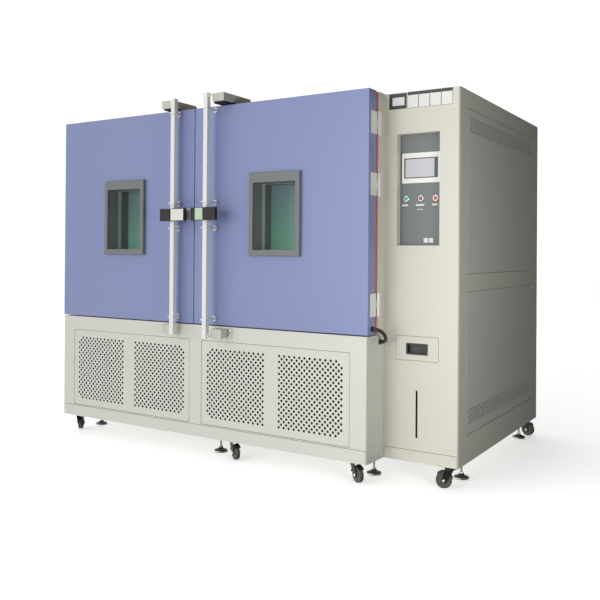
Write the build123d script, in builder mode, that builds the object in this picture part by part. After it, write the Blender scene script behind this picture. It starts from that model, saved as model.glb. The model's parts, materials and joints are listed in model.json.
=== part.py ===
from build123d import *
from math import hypot
import os

os.makedirs("parts", exist_ok=True)

# The machine stands on the floor at Z = 0, faces -Y, and has its controls at its right, +X.
# All sizes are millimetres.

# Overall sizes of the two bodies that stand side by side
chamber_w = 2055.0
column_w = 377.0
body_depth = 1498.0
body_h = 1750.0
column_setback = 173.0
caster_h = 105.0
base_h = 593.0
gear_reach = 112.0

# Sheet metal
sheet = 2.5
panel_sheet = 1.5
panel_fold = 12.0
panel_gap = 1.5
lip_w = 18.0
corner_r = 10.0

# Insulated chamber above the base
wall_t = 100.0
liner_t = 2.0
flange_setback = 98.0
post_w = 120.0
left_door_w = 1010.0
seam_gap = 4.0

# Doors
door_t = 78.0
door_sheet = 2.0
door_foot_gap = 6.0
door_lip = 25.0
door_edge_r = 1.6
plug_depth = 80.0
plug_play = 8.0
seal_w = 40.0
seal_inset = 4.0
seal_play = 0.3

# Windows, each in the middle of its door
window_w = 305.0
window_h = 421.0
window_side = 25.0
window_top = 50.0
window_foot = 30.0
window_proud = 18.0
tunnel_t = 3.0
spacer_w = 27.0
spacer_setback = 82.0
spacer_t = 2.0
pane_t = 5.0
pane_play = 0.3

# Hinges: two near the top of each door and one near its foot
hinge_h = 108.0
hinge_leaf_t = 3.0
hinge_pin_r = 4.0
hinge_pin_play = 0.05
hinge_knuckle_r = 7.0
hinge_axis_out = 8.5
hinge_knuckle_play = 0.3
hinge_leaf_front = 19.0
hinge_leaf_back = 125.0
hinge_low_up = 145.0
hinge_mid_down = 444.0
hinge_top_down = 153.0

# Lock rods in front of the doors
rod_w = 28.0
rod_wall = 2.5
rod_neck_r = 11.0
rod_under = 56.0
rod_over = 55.0
left_rod_from_seam = 107.0
right_rod_from_seam = 142.0
left_rod_stand = 45.0
right_rod_stand = 75.0
guide_low_up = 39.0
guide_below_handle = 71.0
guide_above_handle = 64.0
guide_top_down = 22.0
guide_play = 0.05
guide_rim = 6.0
guide_t = 5.0
guide_neck_play = 0.4
guide_post_r = 8.0
guide_post_play = 0.7
guide_foot_r = 13.0
guide_foot_t = 4.0
rod_chamfer = 2.0
cam_pin_r = 7.0
cam_pin_reach = 25.0
cam_pin_inset = 12.0

# Handles clamped on the lock rods
handle_z = 1179.0
handle_h = 66.0
handle_t = 21.0
handle_play = 0.2
hub_half = 17.0
plate_inset = 3.0
plate_recess = 1.5
left_grip_reach = 69.0
left_plate_reach = 103.0
right_grip_reach = 83.0
right_plate_reach = 78.0
catch_w = 36.0
catch_t = 30.0
catch_edge = 4.0

# Keepers: box beams over the doors and short blocks on the base
beam_w = 74.0
beam_h = 42.0
beam_t = 3.0
beam_lift = 12.0
beam_reach = 168.0
beam_bevel = 28.0
keeper_gap = 12.0
keeper_setback = 12.0
keeper_w = 66.0
keeper_h = 44.0
keeper_under = 53.0
keeper_pocket = 14.0

# Base with its two perforated panels
plinth_h = 62.0
plinth_proud = 2.0
grille_panel_w = 892.0
grille_panel_h = 443.0
grille_panel_foot = 70.0
mid_post_w = 83.0
field_w = 384.0
field_h = 365.0
field_side = 28.0
field_foot = 37.0
grille_pitch = 59.0
grille_hole = 20.0

# Control column
column_plinth_h = 54.0
recess_w = 216.0
recess_h = 531.0
recess_foot = 1020.0
recess_right = 98.0
recess_depth = 40.0
plate_t = 2.0
drawer_w = 213.0
drawer_h = 113.0
drawer_foot = 478.0
drawer_depth = 260.0
drawer_wall = 2.0
drawer_play = 0.3
runner_w = 12.0
slot_w = 10.0
slot_h = 224.0
slot_foot = 114.0
slot_right = 206.0
side_panel_front = 103.0
side_panel_rear = 110.0
upper_panel_foot = 888.0
upper_panel_h = 778.0
lower_panel_foot = 132.0
lower_panel_h = 671.0
vent_rows_h = 59.0
vent_edge = 38.0
vent_bottom_edge = 54.0
vent_pitch = 88.5
vent_hole_w = 59.0
vent_hole_h = 13.0

# Screen and push-buttons on the control plate
bezel_w = 194.0
bezel_h = 144.0
bezel_t = 6.0
bezel_foot = 1318.0
glass_w = 173.0
glass_h = 97.0
glass_foot = 1341.0
glass_t = 3.0
glass_play = 0.2
button_z = 1244.0
button_spacing = 75.0
button_cap_r = 10.5
button_cap_t = 9.0
button_stem_r = 6.0
button_stem_l = 32.0
collar_r = 15.0
collar_bore_r = 10.8
collar_neck_r = 13.0
collar_neck_play = 0.1
collar_t = 8.0
collar_back = 22.0

# Pull on the water drawer
pull_w = 101.0
pull_h = 46.0
pull_foot = 31.0
pull_depth = 22.0
pull_rim = 4.0
pull_wall = 3.0

# Casters and levelling feet
wheel_r = 37.5
wheel_w = 26.0
wheel_bore_r = 5.05
axle_r = 5.0
caster_trail = 30.0
fork_gap = 2.0
fork_t = 3.0
fork_w = 34.0
fork_head_r = 27.0
fork_head_t = 7.0
kingpin_r = 6.0
kingpin_play = 0.05
swivel_play = 0.3
caster_plate_x = 92.0
caster_plate_y = 66.0
caster_plate_t = 4.0
race_r = 23.0
race_t = 4.0
bolt_r = 5.0
bolt_inset = 11.0
left_wheel_in = 62.0
seam_wheel_right = 219.0
joint_wheel_in = 102.0
edge_wheel_in = 52.0
rear_wheel_in = 66.0
front_wheel_back = 74.0
column_wheel_back = 41.0
rear_wheel_front = 34.0
seam_foot_right = 79.0
joint_foot_in = 76.0
edge_foot_in = 66.0
foot_pad_r = 37.0
foot_pad_t = 14.0
foot_stem_r = 6.0
foot_nut_r = 11.0
foot_nut_t = 9.0
foot_hole_play = 0.5

# Inside the chamber
shelf_play = 3.0
shelf_depth = 760.0
shelf_front = 230.0
shelf_t = 10.0
shelf_bar = 8.0
shelf_heights = (300.0, 610.0)
ledge_w = 30.0
ledge_t = 3.0
duct_depth = 200.0
duct_sheet = 2.0
duct_slot = 70.0
fan_r = 120.0
fan_w = 60.0
fan_hub_r = 30.0
fan_blades = 10
blade_t = 3.0
fan_spread = 900.0
fan_up = 560.0
fan_inlet_r = 105.0
motor_r = 65.0
motor_l = 96.0
shaft_r = 8.0
shaft_play = 0.05
coil_h = 220.0
coil_w = 1500.0
coil_t = 90.0
coil_lift = 90.0

# Refrigeration set in the base
tank_r = 105.0
tank_h = 330.0
tank_spread = 460.0
set_plate_t = 8.0
condenser_w = 620.0
condenser_h = 380.0
condenser_t = 110.0

# Conduit from the door's foot back into the base
conduit_r = 9.0
conduit_play = 0.2
conduit_door_setback = 44.0
conduit_door_z = 627.0
conduit_base_setback = 128.0
conduit_base_z = 560.0

# Places that follow from the sizes
hinge_heights = (base_h + hinge_low_up, body_h - hinge_mid_down, body_h - hinge_top_down)
guide_heights = (
    base_h + guide_low_up,
    handle_z - guide_below_handle,
    handle_z + guide_above_handle,
    body_h - guide_top_down,
)
rod_foot = base_h - rod_under
rod_head = body_h + rod_over
keeper_z = base_h - keeper_under
x_left = -(chamber_w + column_w) / 2
x_joint = x_left + chamber_w
x_right = x_joint + column_w
x_seam = x_left + left_door_w + seam_gap / 2
y_front = (gear_reach - body_depth) / 2
y_back = y_front + body_depth
y_flange = y_front + flange_setback
y_column = y_front + column_setback
z_body = caster_h
z_base = z_body + base_h
z_top = z_body + body_h
z_door = z_base + door_foot_gap
y_axis = y_front + (door_t + flange_setback) / 2
cavity_left = x_left + wall_t
cavity_right = x_joint - wall_t
cavity_foot = z_base + wall_t
cavity_top = z_top - wall_t
cavity_back = y_back - wall_t
y_duct = cavity_back - duct_depth
tunnel_end = y_front + door_t + plug_depth
window_z = (z_door + z_top) / 2 - window_h / 2


def block(x, y, z, mode=Mode.ADD):
    """A straight block between pairs of limits along X, Y and Z."""
    with Locations(((x[0] + x[1]) / 2, (y[0] + y[1]) / 2, (z[0] + z[1]) / 2)):
        Box(abs(x[1] - x[0]), abs(y[1] - y[0]), abs(z[1] - z[0]), mode=mode)


def rod(start, end, radius, mode=Mode.ADD):
    """A round rod from one point to another."""
    run = Vector(*end) - Vector(*start)
    with Locations(Plane(origin=start, z_dir=run)):
        Cylinder(radius, run.length, align=(Align.CENTER, Align.CENTER, Align.MIN), mode=mode)


def finish(piece, name):
    """Give a piece its name and write it to its own file."""
    piece.part.label = name
    export_step(piece.part, "parts/" + name + ".step")


def front_opening(x, z, y_face):
    """Open a front wall for a flush panel, and give the hole its return and its seat."""
    wide = (x[0] - panel_gap, x[1] + panel_gap)
    high = (z[0] - panel_gap, z[1] + panel_gap)
    seat = y_face + panel_fold
    block((wide[0] - sheet, wide[1] + sheet), (y_face, seat + sheet), (high[0] - sheet, high[1] + sheet))
    block(wide, (y_face - 1, seat), high, mode=Mode.SUBTRACT)
    block(
        (wide[0] + lip_w, wide[1] - lip_w),
        (seat - 1, seat + sheet + 1),
        (high[0] + lip_w, high[1] - lip_w),
        mode=Mode.SUBTRACT,
    )


def side_opening(y, z, x_face):
    """Open the right-hand wall for a flush panel, with the same return and seat."""
    deep = (y[0] - panel_gap, y[1] + panel_gap)
    high = (z[0] - panel_gap, z[1] + panel_gap)
    seat = x_face - panel_fold
    block((seat - sheet, x_face), (deep[0] - sheet, deep[1] + sheet), (high[0] - sheet, high[1] + sheet))
    block((seat, x_face + 1), deep, high, mode=Mode.SUBTRACT)
    block(
        (seat - sheet - 1, seat + 1),
        (deep[0] + lip_w, deep[1] - lip_w),
        (high[0] + lip_w, high[1] - lip_w),
        mode=Mode.SUBTRACT,
    )


# Levelling feet, one beside each caster, screwed through the floor of the base or the column
foot_places = (
    (x_left + left_wheel_in, y_front + 250),
    (x_seam + seam_foot_right, y_front + 146),
    (x_joint - joint_foot_in, y_front + 228),
    (x_right - edge_foot_in, y_column + 223),
    (x_left + left_wheel_in, y_back - 240),
    (x_right - edge_foot_in, y_back - 136),
)


def foot_holes(first, last):
    """Holes in a floor sheet for the levelling feet that lie between two limits along X."""
    for x, y in foot_places:
        if first < x < last:
            stem_end = z_body + 2 * sheet
            rod((x, y, z_body - 1), (x, y, stem_end), foot_stem_r + foot_hole_play, mode=Mode.SUBTRACT)


# Base: a welded box of folded sheet that carries everything else

panel_z = (z_body + grille_panel_foot, z_body + grille_panel_foot + grille_panel_h)
side_margin = (chamber_w - mid_post_w - 2 * grille_panel_w) / 2
left_panel_x = (x_left + side_margin, x_left + side_margin + grille_panel_w)
right_panel_x = (x_joint - side_margin - grille_panel_w, x_joint - side_margin)

with BuildPart() as base_frame:
    with BuildSketch(Plane.XY.offset(z_body)):
        with Locations((x_left + chamber_w / 2, y_front + body_depth / 2)):
            Rectangle(chamber_w, body_depth)
    extrude(amount=base_h)
    front_edges = base_frame.edges().filter_by(Axis.Z).group_by(Axis.Y)[0]
    fillet(front_edges, corner_r)
    block(
        (x_left + sheet, x_joint - sheet),
        (y_front + sheet, y_back - sheet),
        (z_body + sheet, z_base - sheet),
        mode=Mode.SUBTRACT,
    )
    front_opening(left_panel_x, panel_z, y_front)
    front_opening(right_panel_x, panel_z, y_front)
    block(
        (x_left + corner_r, x_joint - corner_r),
        (y_front - plinth_proud, y_front),
        (z_body, z_body + plinth_h),
    )
    foot_holes(x_left, x_joint)
finish(base_frame, "base_frame")


def grille_panel(name, x):
    """A flush pan with two fields of holes set on their corners, in staggered rows."""
    with BuildPart() as pan:
        block(x, (y_front, y_front + panel_fold), panel_z)
        block(
            (x[0] + panel_sheet, x[1] - panel_sheet),
            (y_front + panel_sheet, y_front + panel_fold + 1),
            (panel_z[0] + panel_sheet, panel_z[1] - panel_sheet),
            mode=Mode.SUBTRACT,
        )
        columns = int((field_w - grille_hole) // grille_pitch) + 1
        rows = int((field_h - grille_hole) // grille_pitch) + 1
        middle_z = panel_z[0] + field_foot + field_h / 2
        for middle_x in (x[0] + field_side + field_w / 2, x[1] - field_side - field_w / 2):
            face = Plane(origin=(middle_x, y_front, middle_z), x_dir=(1, 0, 0), z_dir=(0, -1, 0))
            with BuildSketch(face):
                with GridLocations(grille_pitch, grille_pitch, columns, rows):
                    Rectangle(grille_hole, grille_hole, rotation=45)
                with GridLocations(grille_pitch, grille_pitch, columns - 1, rows - 1):
                    Rectangle(grille_hole, grille_hole, rotation=45)
            extrude(amount=-panel_sheet, mode=Mode.SUBTRACT)
    finish(pan, name)


grille_panel("base_panel_left", left_panel_x)
grille_panel("base_panel_right", right_panel_x)

# Insulated box: painted outer sheet, foam, and a stainless liner with two door openings

openings_x = (
    (cavity_left, x_seam - post_w / 2),
    (x_seam + post_w / 2, cavity_right),
)
cavity_z = (cavity_foot, cavity_top)

with BuildPart() as outer_shell:
    block((x_left, x_joint), (y_flange, y_back), (z_base, z_top))
    block(
        (x_left + sheet, x_joint - sheet),
        (y_flange + sheet, y_back - sheet),
        (z_base + sheet, z_top - sheet),
        mode=Mode.SUBTRACT,
    )
    for opening in openings_x:
        block(
            (opening[0] - liner_t, opening[1] + liner_t),
            (y_flange - 1, y_flange + sheet + 1),
            (cavity_foot - liner_t, cavity_top + liner_t),
            mode=Mode.SUBTRACT,
        )
finish(outer_shell, "outer_shell")

with BuildPart() as insulation:
    block(
        (x_left + sheet, x_joint - sheet),
        (y_flange + sheet, y_back - sheet),
        (z_base + sheet, z_top - sheet),
    )
    block(
        (cavity_left - liner_t, cavity_right + liner_t),
        (y_flange, cavity_back + liner_t),
        (cavity_foot - liner_t, cavity_top + liner_t),
        mode=Mode.SUBTRACT,
    )
    # Foam inside the fixed post between the two doors
    block(
        (x_seam - post_w / 2 + liner_t, x_seam + post_w / 2 - liner_t),
        (y_flange + sheet, y_flange + wall_t),
        cavity_z,
    )
finish(insulation, "insulation")

with BuildPart() as inner_liner:
    block(
        (cavity_left - liner_t, cavity_right + liner_t),
        (y_flange + sheet, cavity_back + liner_t),
        (cavity_foot - liner_t, cavity_top + liner_t),
    )
    block((cavity_left, cavity_right), (y_flange, cavity_back), cavity_z, mode=Mode.SUBTRACT)
    for opening in openings_x:
        block(
            (opening[0] - liner_t, opening[1] + liner_t),
            (y_flange, y_flange + wall_t),
            (cavity_foot - liner_t, cavity_top + liner_t),
        )
        block(opening, (y_flange - 1, y_flange + wall_t + 1), cavity_z, mode=Mode.SUBTRACT)
    block(
        (x_seam - post_w / 2, x_seam + post_w / 2),
        (y_flange + wall_t, y_flange + wall_t + liner_t),
        cavity_z,
    )
    for height in shelf_heights:
        for side in (0, 1):
            wall_x = (cavity_left, cavity_right)[side]
            inner_x = wall_x + (ledge_w, -ledge_w)[side]
            block(
                sorted((wall_x, inner_x)),
                (y_flange + shelf_front, y_flange + shelf_front + shelf_depth),
                (cavity_foot + height - ledge_t, cavity_foot + height),
            )
finish(inner_liner, "inner_liner")


def shelf_grid(height):
    """A welded rack: a frame of square bar with bars across it, laid on the ledges."""
    x = (cavity_left + shelf_play, cavity_right - shelf_play)
    y = (y_flange + shelf_front, y_flange + shelf_front + shelf_depth)
    z = (cavity_foot + height, cavity_foot + height + shelf_t)
    block(x, y, z)
    block(
        (x[0] + shelf_t, x[1] - shelf_t),
        (y[0] + shelf_t, y[1] - shelf_t),
        (z[0] - 1, z[1] + 1),
        mode=Mode.SUBTRACT,
    )
    bays = 6
    pitch = (y[1] - y[0]) / bays
    for n in range(1, bays):
        middle = y[0] + n * pitch
        block(x, (middle - shelf_bar / 2, middle + shelf_bar / 2), (z[0], z[0] + shelf_bar))


with BuildPart() as shelves:
    for height in shelf_heights:
        shelf_grid(height)
finish(shelves, "shelves")

# Air circulation behind a baffle at the back of the cavity

fan_places = [
    ((cavity_left + cavity_right) / 2 + side * fan_spread / 2, cavity_foot + fan_up) for side in (-1, 1)
]

with BuildPart() as air_duct_panel:
    block(
        (cavity_left, cavity_right),
        (y_duct, y_duct + duct_sheet),
        (cavity_foot + duct_slot, cavity_top - duct_slot),
    )
    for x, z in fan_places:
        rod((x, y_duct - 1, z), (x, y_duct + duct_sheet + 1, z), fan_inlet_r, mode=Mode.SUBTRACT)
finish(air_duct_panel, "air_duct_panel")

motor_front = cavity_back - motor_l
wheel_y = (motor_front - fan_w - 12, motor_front - 12)

with BuildPart() as fan_motors:
    for x, z in fan_places:
        rod((x, cavity_back, z), (x, motor_front, z), motor_r)
        rod((x, motor_front, z), (x, wheel_y[0], z), shaft_r)
finish(fan_motors, "fan_motors")


def fan_wheel(name, x, z):
    """A centrifugal wheel: back disc, hub bored for the shaft, and straight radial blades."""
    blade_in = fan_hub_r - 2 * blade_t
    blade_out = fan_r - blade_t
    with BuildPart() as wheel:
        rod((x, wheel_y[1], z), (x, wheel_y[1] - 3, z), fan_r)
        rod((x, wheel_y[1], z), (x, wheel_y[0], z), fan_hub_r)
        with Locations(Plane(origin=(x, wheel_y[1] - fan_w / 2, z), x_dir=(1, 0, 0), z_dir=(0, -1, 0))):
            with PolarLocations((blade_in + blade_out) / 2, fan_blades):
                Box(blade_out - blade_in, blade_t, fan_w)
        rod((x, wheel_y[1] + 1, z), (x, wheel_y[0] - 1, z), shaft_r + shaft_play, mode=Mode.SUBTRACT)
    finish(wheel, name)


fan_wheel("fan_wheel_left", *fan_places[0])
fan_wheel("fan_wheel_right", *fan_places[1])

coil_x = ((cavity_left + cavity_right - coil_w) / 2, (cavity_left + cavity_right + coil_w) / 2)
with BuildPart() as evaporator_coil:
    coil_foot = cavity_foot + coil_lift
    block(coil_x, (cavity_back - coil_t, cavity_back), (coil_foot, coil_foot + coil_h))
    groove = coil_w / 24
    for n in range(1, 12):
        x = coil_x[0] + 2 * n * groove
        block(
            (x - groove / 2, x + groove / 2),
            (cavity_back - coil_t - 1, cavity_back - coil_t + 25),
            (cavity_foot + coil_lift, cavity_foot + coil_lift + coil_h),
            mode=Mode.SUBTRACT,
        )

# Refrigeration set: this coil in the chamber, and two compressors and a condenser in the base

set_z = z_body + sheet
with BuildPart() as refrigeration_set:
    add(evaporator_coil.part)
    tank_y = y_front + 2 * body_depth / 3
    tank_x = (x_left + x_joint) / 2 - chamber_w / 5
    block(
        (tank_x - tank_spread, tank_x + tank_spread),
        (tank_y - 1.6 * tank_r, tank_y + 1.6 * tank_r),
        (set_z, set_z + set_plate_t),
    )
    for side in (-1, 1):
        centre = tank_x + side * tank_spread / 2
        with BuildSketch(Plane.XY.offset(set_z + set_plate_t)):
            with Locations((centre, tank_y)):
                Circle(tank_r)
        extrude(amount=tank_h)
    tank_top = set_z + set_plate_t + tank_h
    circles = refrigeration_set.edges().filter_by(GeomType.CIRCLE)
    rims = circles.filter_by_position(Axis.Z, tank_top - 1, tank_top + 1)
    fillet(rims, tank_r / 3)
    condenser_x = (x_left + x_joint) / 2 + chamber_w / 4
    condenser_y = y_front + body_depth / 3
    block(
        (condenser_x - condenser_w / 2, condenser_x + condenser_w / 2),
        (condenser_y, condenser_y + condenser_t),
        (set_z, set_z + condenser_h),
    )
    rod(
        (condenser_x, condenser_y - 1, set_z + condenser_h / 2),
        (condenser_x, condenser_y + condenser_t / 2, set_z + condenser_h / 2),
        condenser_h / 2 - 20,
        mode=Mode.SUBTRACT,
    )
finish(refrigeration_set, "refrigeration_set")

# Control column

recess_x = (x_right - recess_right - recess_w, x_right - recess_right)
recess_z = (z_body + recess_foot, z_body + recess_foot + recess_h)
drawer_x = (recess_x[0] + (recess_w - drawer_w) / 2, recess_x[1] - (recess_w - drawer_w) / 2)
drawer_z = (z_body + drawer_foot, z_body + drawer_foot + drawer_h)
slot_x = (x_right - slot_right - slot_w / 2, x_right - slot_right + slot_w / 2)
slot_z = (z_body + slot_foot, z_body + slot_foot + slot_h)
side_panel_y = (y_column + side_panel_front, y_back - side_panel_rear)
upper_panel_z = (z_body + upper_panel_foot, z_body + upper_panel_foot + upper_panel_h)
lower_panel_z = (z_body + lower_panel_foot, z_body + lower_panel_foot + lower_panel_h)
tray_x = (drawer_x[0] + runner_w + panel_gap, drawer_x[1] - runner_w - panel_gap)
tray_z = (drawer_z[0] + panel_sheet + 6, drawer_z[1] - 8)

with BuildPart() as column_shell:
    with BuildSketch(Plane.XY.offset(z_body)):
        with Locations((x_joint + column_w / 2, (y_column + y_back) / 2)):
            Rectangle(column_w, y_back - y_column)
    extrude(amount=body_h)
    front_right = column_shell.edges().filter_by(Axis.Z).group_by(Axis.Y)[0].sort_by(Axis.X)[-1]
    fillet(front_right, corner_r)
    block(
        (x_joint + sheet, x_right - sheet),
        (y_column + sheet, y_back - sheet),
        (z_body + sheet, z_top - sheet),
        mode=Mode.SUBTRACT,
    )
    # Box that holds the control plate at the bottom of its recess
    block(
        (recess_x[0] - sheet, recess_x[1] + sheet),
        (y_column, y_column + recess_depth + plate_t + sheet),
        (recess_z[0] - sheet, recess_z[1] + sheet),
    )
    block(recess_x, (y_column - 1, y_column + recess_depth + plate_t), recess_z, mode=Mode.SUBTRACT)
    block(
        (recess_x[0] + lip_w, recess_x[1] - lip_w),
        (y_column, y_column + recess_depth + plate_t + sheet + 1),
        (recess_z[0] + lip_w, recess_z[1] - lip_w),
        mode=Mode.SUBTRACT,
    )
    # Mouth for the water drawer, and the two angles that carry its tray
    block(
        (drawer_x[0] - panel_gap, drawer_x[1] + panel_gap),
        (y_column - 1, y_column + sheet + 1),
        (drawer_z[0] - panel_gap, drawer_z[1] + panel_gap),
        mode=Mode.SUBTRACT,
    )
    for outer, inner in (
        (drawer_x[0] - panel_gap - sheet, tray_x[0] + runner_w),
        (tray_x[1] - runner_w, drawer_x[1] + panel_gap + sheet),
    ):
        block(
            (outer, inner),
            (y_column + sheet + panel_fold, y_column + sheet + drawer_depth),
            (tray_z[0] - drawer_play - 4, tray_z[0] - drawer_play),
        )
    for outer in (drawer_x[0] - panel_gap - sheet, drawer_x[1] + panel_gap):
        block(
            (outer, outer + sheet),
            (y_column + sheet / 2, y_column + sheet + drawer_depth),
            (tray_z[0] - drawer_play - 4, tray_z[1]),
        )
    # Slot of the water gauge
    with BuildSketch(Plane(origin=(0, y_column, 0), x_dir=(1, 0, 0), z_dir=(0, -1, 0))):
        with Locations(((slot_x[0] + slot_x[1]) / 2, (slot_z[0] + slot_z[1]) / 2)):
            SlotOverall(slot_h, slot_w, rotation=90)
    extrude(amount=-2 * sheet, mode=Mode.SUBTRACT)
    side_opening(side_panel_y, upper_panel_z, x_right)
    side_opening(side_panel_y, lower_panel_z, x_right)
    block(
        (x_joint + 1, x_right - corner_r),
        (y_column - plinth_proud, y_column),
        (z_body, z_body + column_plinth_h),
    )
    foot_holes(x_joint, x_right)
finish(column_shell, "column_shell")


def side_panel(name, z, vent_z):
    """A flush pan for the column's side with two rows of oblong vents."""
    with BuildPart() as pan:
        block((x_right - panel_fold, x_right), side_panel_y, z)
        block(
            (x_right - panel_fold - 1, x_right - panel_sheet),
            (side_panel_y[0] + panel_sheet, side_panel_y[1] - panel_sheet),
            (z[0] + panel_sheet, z[1] - panel_sheet),
            mode=Mode.SUBTRACT,
        )
        count = int((side_panel_y[1] - side_panel_y[0] - vent_edge) // vent_pitch)
        middle_y = (side_panel_y[0] + side_panel_y[1]) / 2
        with BuildSketch(Plane(origin=(x_right, middle_y, vent_z), x_dir=(0, 1, 0), z_dir=(1, 0, 0))):
            with GridLocations(vent_pitch, vent_rows_h / 2, count, 3):
                Rectangle(vent_hole_w, vent_hole_h)
        extrude(amount=-panel_sheet, mode=Mode.SUBTRACT)
    finish(pan, name)


side_panel("side_panel_upper", upper_panel_z, upper_panel_z[1] - vent_edge - vent_rows_h / 2 - vent_hole_h)
lower_vents_z = lower_panel_z[0] + vent_bottom_edge + vent_rows_h / 2 + vent_hole_h / 2
side_panel("side_panel_lower", lower_panel_z, lower_vents_z)

y_plate = y_column + recess_depth
button_x = [(recess_x[0] + recess_x[1]) / 2 + n * button_spacing for n in (-1, 0, 1)]
screen_x = (recess_x[0] + recess_x[1]) / 2

with BuildPart() as control_plate:
    block(recess_x, (y_plate, y_plate + plate_t), recess_z)
    for x in button_x:
        rod(
            (x, y_plate - 1, z_body + button_z),
            (x, y_plate + plate_t + 1, z_body + button_z),
            collar_neck_r + collar_neck_play,
            mode=Mode.SUBTRACT,
        )
finish(control_plate, "control_plate")

bezel_z = (z_body + bezel_foot, z_body + bezel_foot + bezel_h)
glass_z = (z_body + glass_foot, z_body + glass_foot + glass_h)
with BuildPart() as screen_bezel:
    block((screen_x - bezel_w / 2, screen_x + bezel_w / 2), (y_plate - bezel_t, y_plate), bezel_z)
    fillet(screen_bezel.edges().filter_by(Axis.Y), 4)
    block(
        (screen_x - glass_w / 2, screen_x + glass_w / 2),
        (y_plate - bezel_t - 1, y_plate - bezel_t + glass_t),
        glass_z,
        mode=Mode.SUBTRACT,
    )
finish(screen_bezel, "screen_bezel")

with BuildPart() as screen_glass:
    block(
        (screen_x - glass_w / 2 + glass_play, screen_x + glass_w / 2 - glass_play),
        (y_plate - bezel_t + 1, y_plate - bezel_t + glass_t),
        (glass_z[0] + glass_play, glass_z[1] - glass_play),
    )
finish(screen_glass, "screen_glass")

with BuildPart() as button_collars:
    for x in button_x:
        z = z_body + button_z
        rod((x, y_plate, z), (x, y_plate - collar_t, z), collar_r)
    chamfer(button_collars.edges().filter_by(GeomType.CIRCLE).group_by(Axis.Y)[0], 2.5)
    for x in button_x:
        rod((x, y_plate, z), (x, y_plate + plate_t, z), collar_neck_r)
        rod((x, y_plate + plate_t, z), (x, y_plate + collar_back, z), collar_r)
        bore_y = (y_plate - collar_t - 1, y_plate + collar_back + 1)
        rod((x, bore_y[0], z), (x, bore_y[1], z), collar_bore_r, mode=Mode.SUBTRACT)
    # A floor in each barrel guides the button's stem
    for x in button_x:
        rod((x, y_plate + collar_back - 3, z), (x, y_plate + collar_back, z), collar_r)
        rod(
            (x, y_plate + collar_back - 4, z),
            (x, y_plate + collar_back + 1, z),
            button_stem_r + shaft_play,
            mode=Mode.SUBTRACT,
        )
finish(button_collars, "button_collars")

for name, x in zip(("button_green", "button_amber", "button_red"), button_x):
    z = z_body + button_z
    with BuildPart() as button:
        rod((x, y_plate - collar_t - 3, z), (x, y_plate - collar_t - 3 + button_cap_t, z), button_cap_r)
        rod((x, y_plate - collar_t, z), (x, y_plate - collar_t + button_stem_l, z), button_stem_r)
        chamfer(button.edges().filter_by(GeomType.CIRCLE).group_by(Axis.Y)[0], 1.5)
    finish(button, name)

with BuildPart() as water_gauge:
    block(
        (slot_x[0] - 8, slot_x[1] + 8),
        (y_column + sheet, y_column + sheet + 14),
        (slot_z[0] - 12, slot_z[1] + 12),
    )
    block(
        (slot_x[0] - 2, slot_x[1] + 2),
        (y_column + sheet - 1, y_column + sheet + 12),
        (slot_z[0] - 4, slot_z[1] + 4),
        mode=Mode.SUBTRACT,
    )
    middle = (slot_x[0] + slot_x[1]) / 2
    rod(
        (middle, y_column + sheet + 7, slot_z[0] - 6),
        (middle, y_column + sheet + 7, slot_z[1] + 6),
        3.5,
    )
finish(water_gauge, "water_gauge")

# Water drawer

pull_x = (sum(drawer_x) / 2 - pull_w / 2, sum(drawer_x) / 2 + pull_w / 2)
pull_z = (drawer_z[0] + pull_foot, drawer_z[0] + pull_foot + pull_h)

with BuildPart() as drawer_box:
    block(drawer_x, (y_column, y_column + sheet), drawer_z)
    block(tray_x, (y_column + sheet, y_column + drawer_depth), tray_z)
    block(
        (tray_x[0] + drawer_wall, tray_x[1] - drawer_wall),
        (y_column + sheet + pull_depth + 8, y_column + drawer_depth - drawer_wall),
        (tray_z[0] + drawer_wall, tray_z[1] + 1),
        mode=Mode.SUBTRACT,
    )
    block(pull_x, (y_column - 1, y_column + pull_depth), pull_z, mode=Mode.SUBTRACT)
finish(drawer_box, "drawer_box")

with BuildPart() as drawer_pull:
    block(
        (pull_x[0] + glass_play, pull_x[1] - glass_play),
        (y_column, y_column + pull_depth),
        (pull_z[0] + glass_play, pull_z[1] - glass_play),
    )
    block(
        (pull_x[0] - pull_rim, pull_x[1] + pull_rim),
        (y_column - 2, y_column),
        (pull_z[0] - pull_rim, pull_z[1] + pull_rim),
    )
    fillet(drawer_pull.edges().filter_by(Axis.Y).group_by(SortBy.LENGTH)[0], 3)
    block(
        (pull_x[0] + pull_wall, pull_x[1] - pull_wall),
        (y_column - 3, y_column + pull_depth - pull_wall),
        (pull_z[0] + pull_wall, pull_z[1] - pull_wall),
        mode=Mode.SUBTRACT,
    )
finish(drawer_pull, "drawer_pull")


# Doors: the right one hangs at the joint with the column, the left one at the far left

class Door:
    """One door's side, edges and gear. u runs from its hinge edge towards the seam."""

    def __init__(self, side):
        self.side = side
        self.hinge_x = x_joint if side > 0 else x_left
        self.free_x = x_seam + side * seam_gap / 2
        self.name = "right" if side > 0 else "left"
        self.x = tuple(sorted((self.hinge_x, self.free_x)))
        self.z = (z_door, z_top)
        opening = openings_x[1] if side > 0 else openings_x[0]
        self.plug_x = (opening[0] + plug_play, opening[1] - plug_play)
        self.plug_z = (cavity_foot + plug_play, cavity_top - plug_play)
        middle = sum(self.x) / 2
        self.frame_x = (middle - window_w / 2, middle + window_w / 2)
        self.frame_z = (window_z, window_z + window_h)
        self.light_x = (self.frame_x[0] + window_side, self.frame_x[1] - window_side)
        self.light_z = (self.frame_z[0] + window_foot, self.frame_z[1] - window_top)
        self.axis_x = self.hinge_x + side * hinge_axis_out
        self.stand = right_rod_stand if side > 0 else left_rod_stand
        from_seam = right_rod_from_seam if side > 0 else left_rod_from_seam
        self.rod_x = x_seam + side * from_seam
        self.rod_y = y_front - self.stand


def grown(limits, amount):
    """A pair of limits moved outwards by an amount."""
    return (limits[0] - amount, limits[1] + amount)


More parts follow.
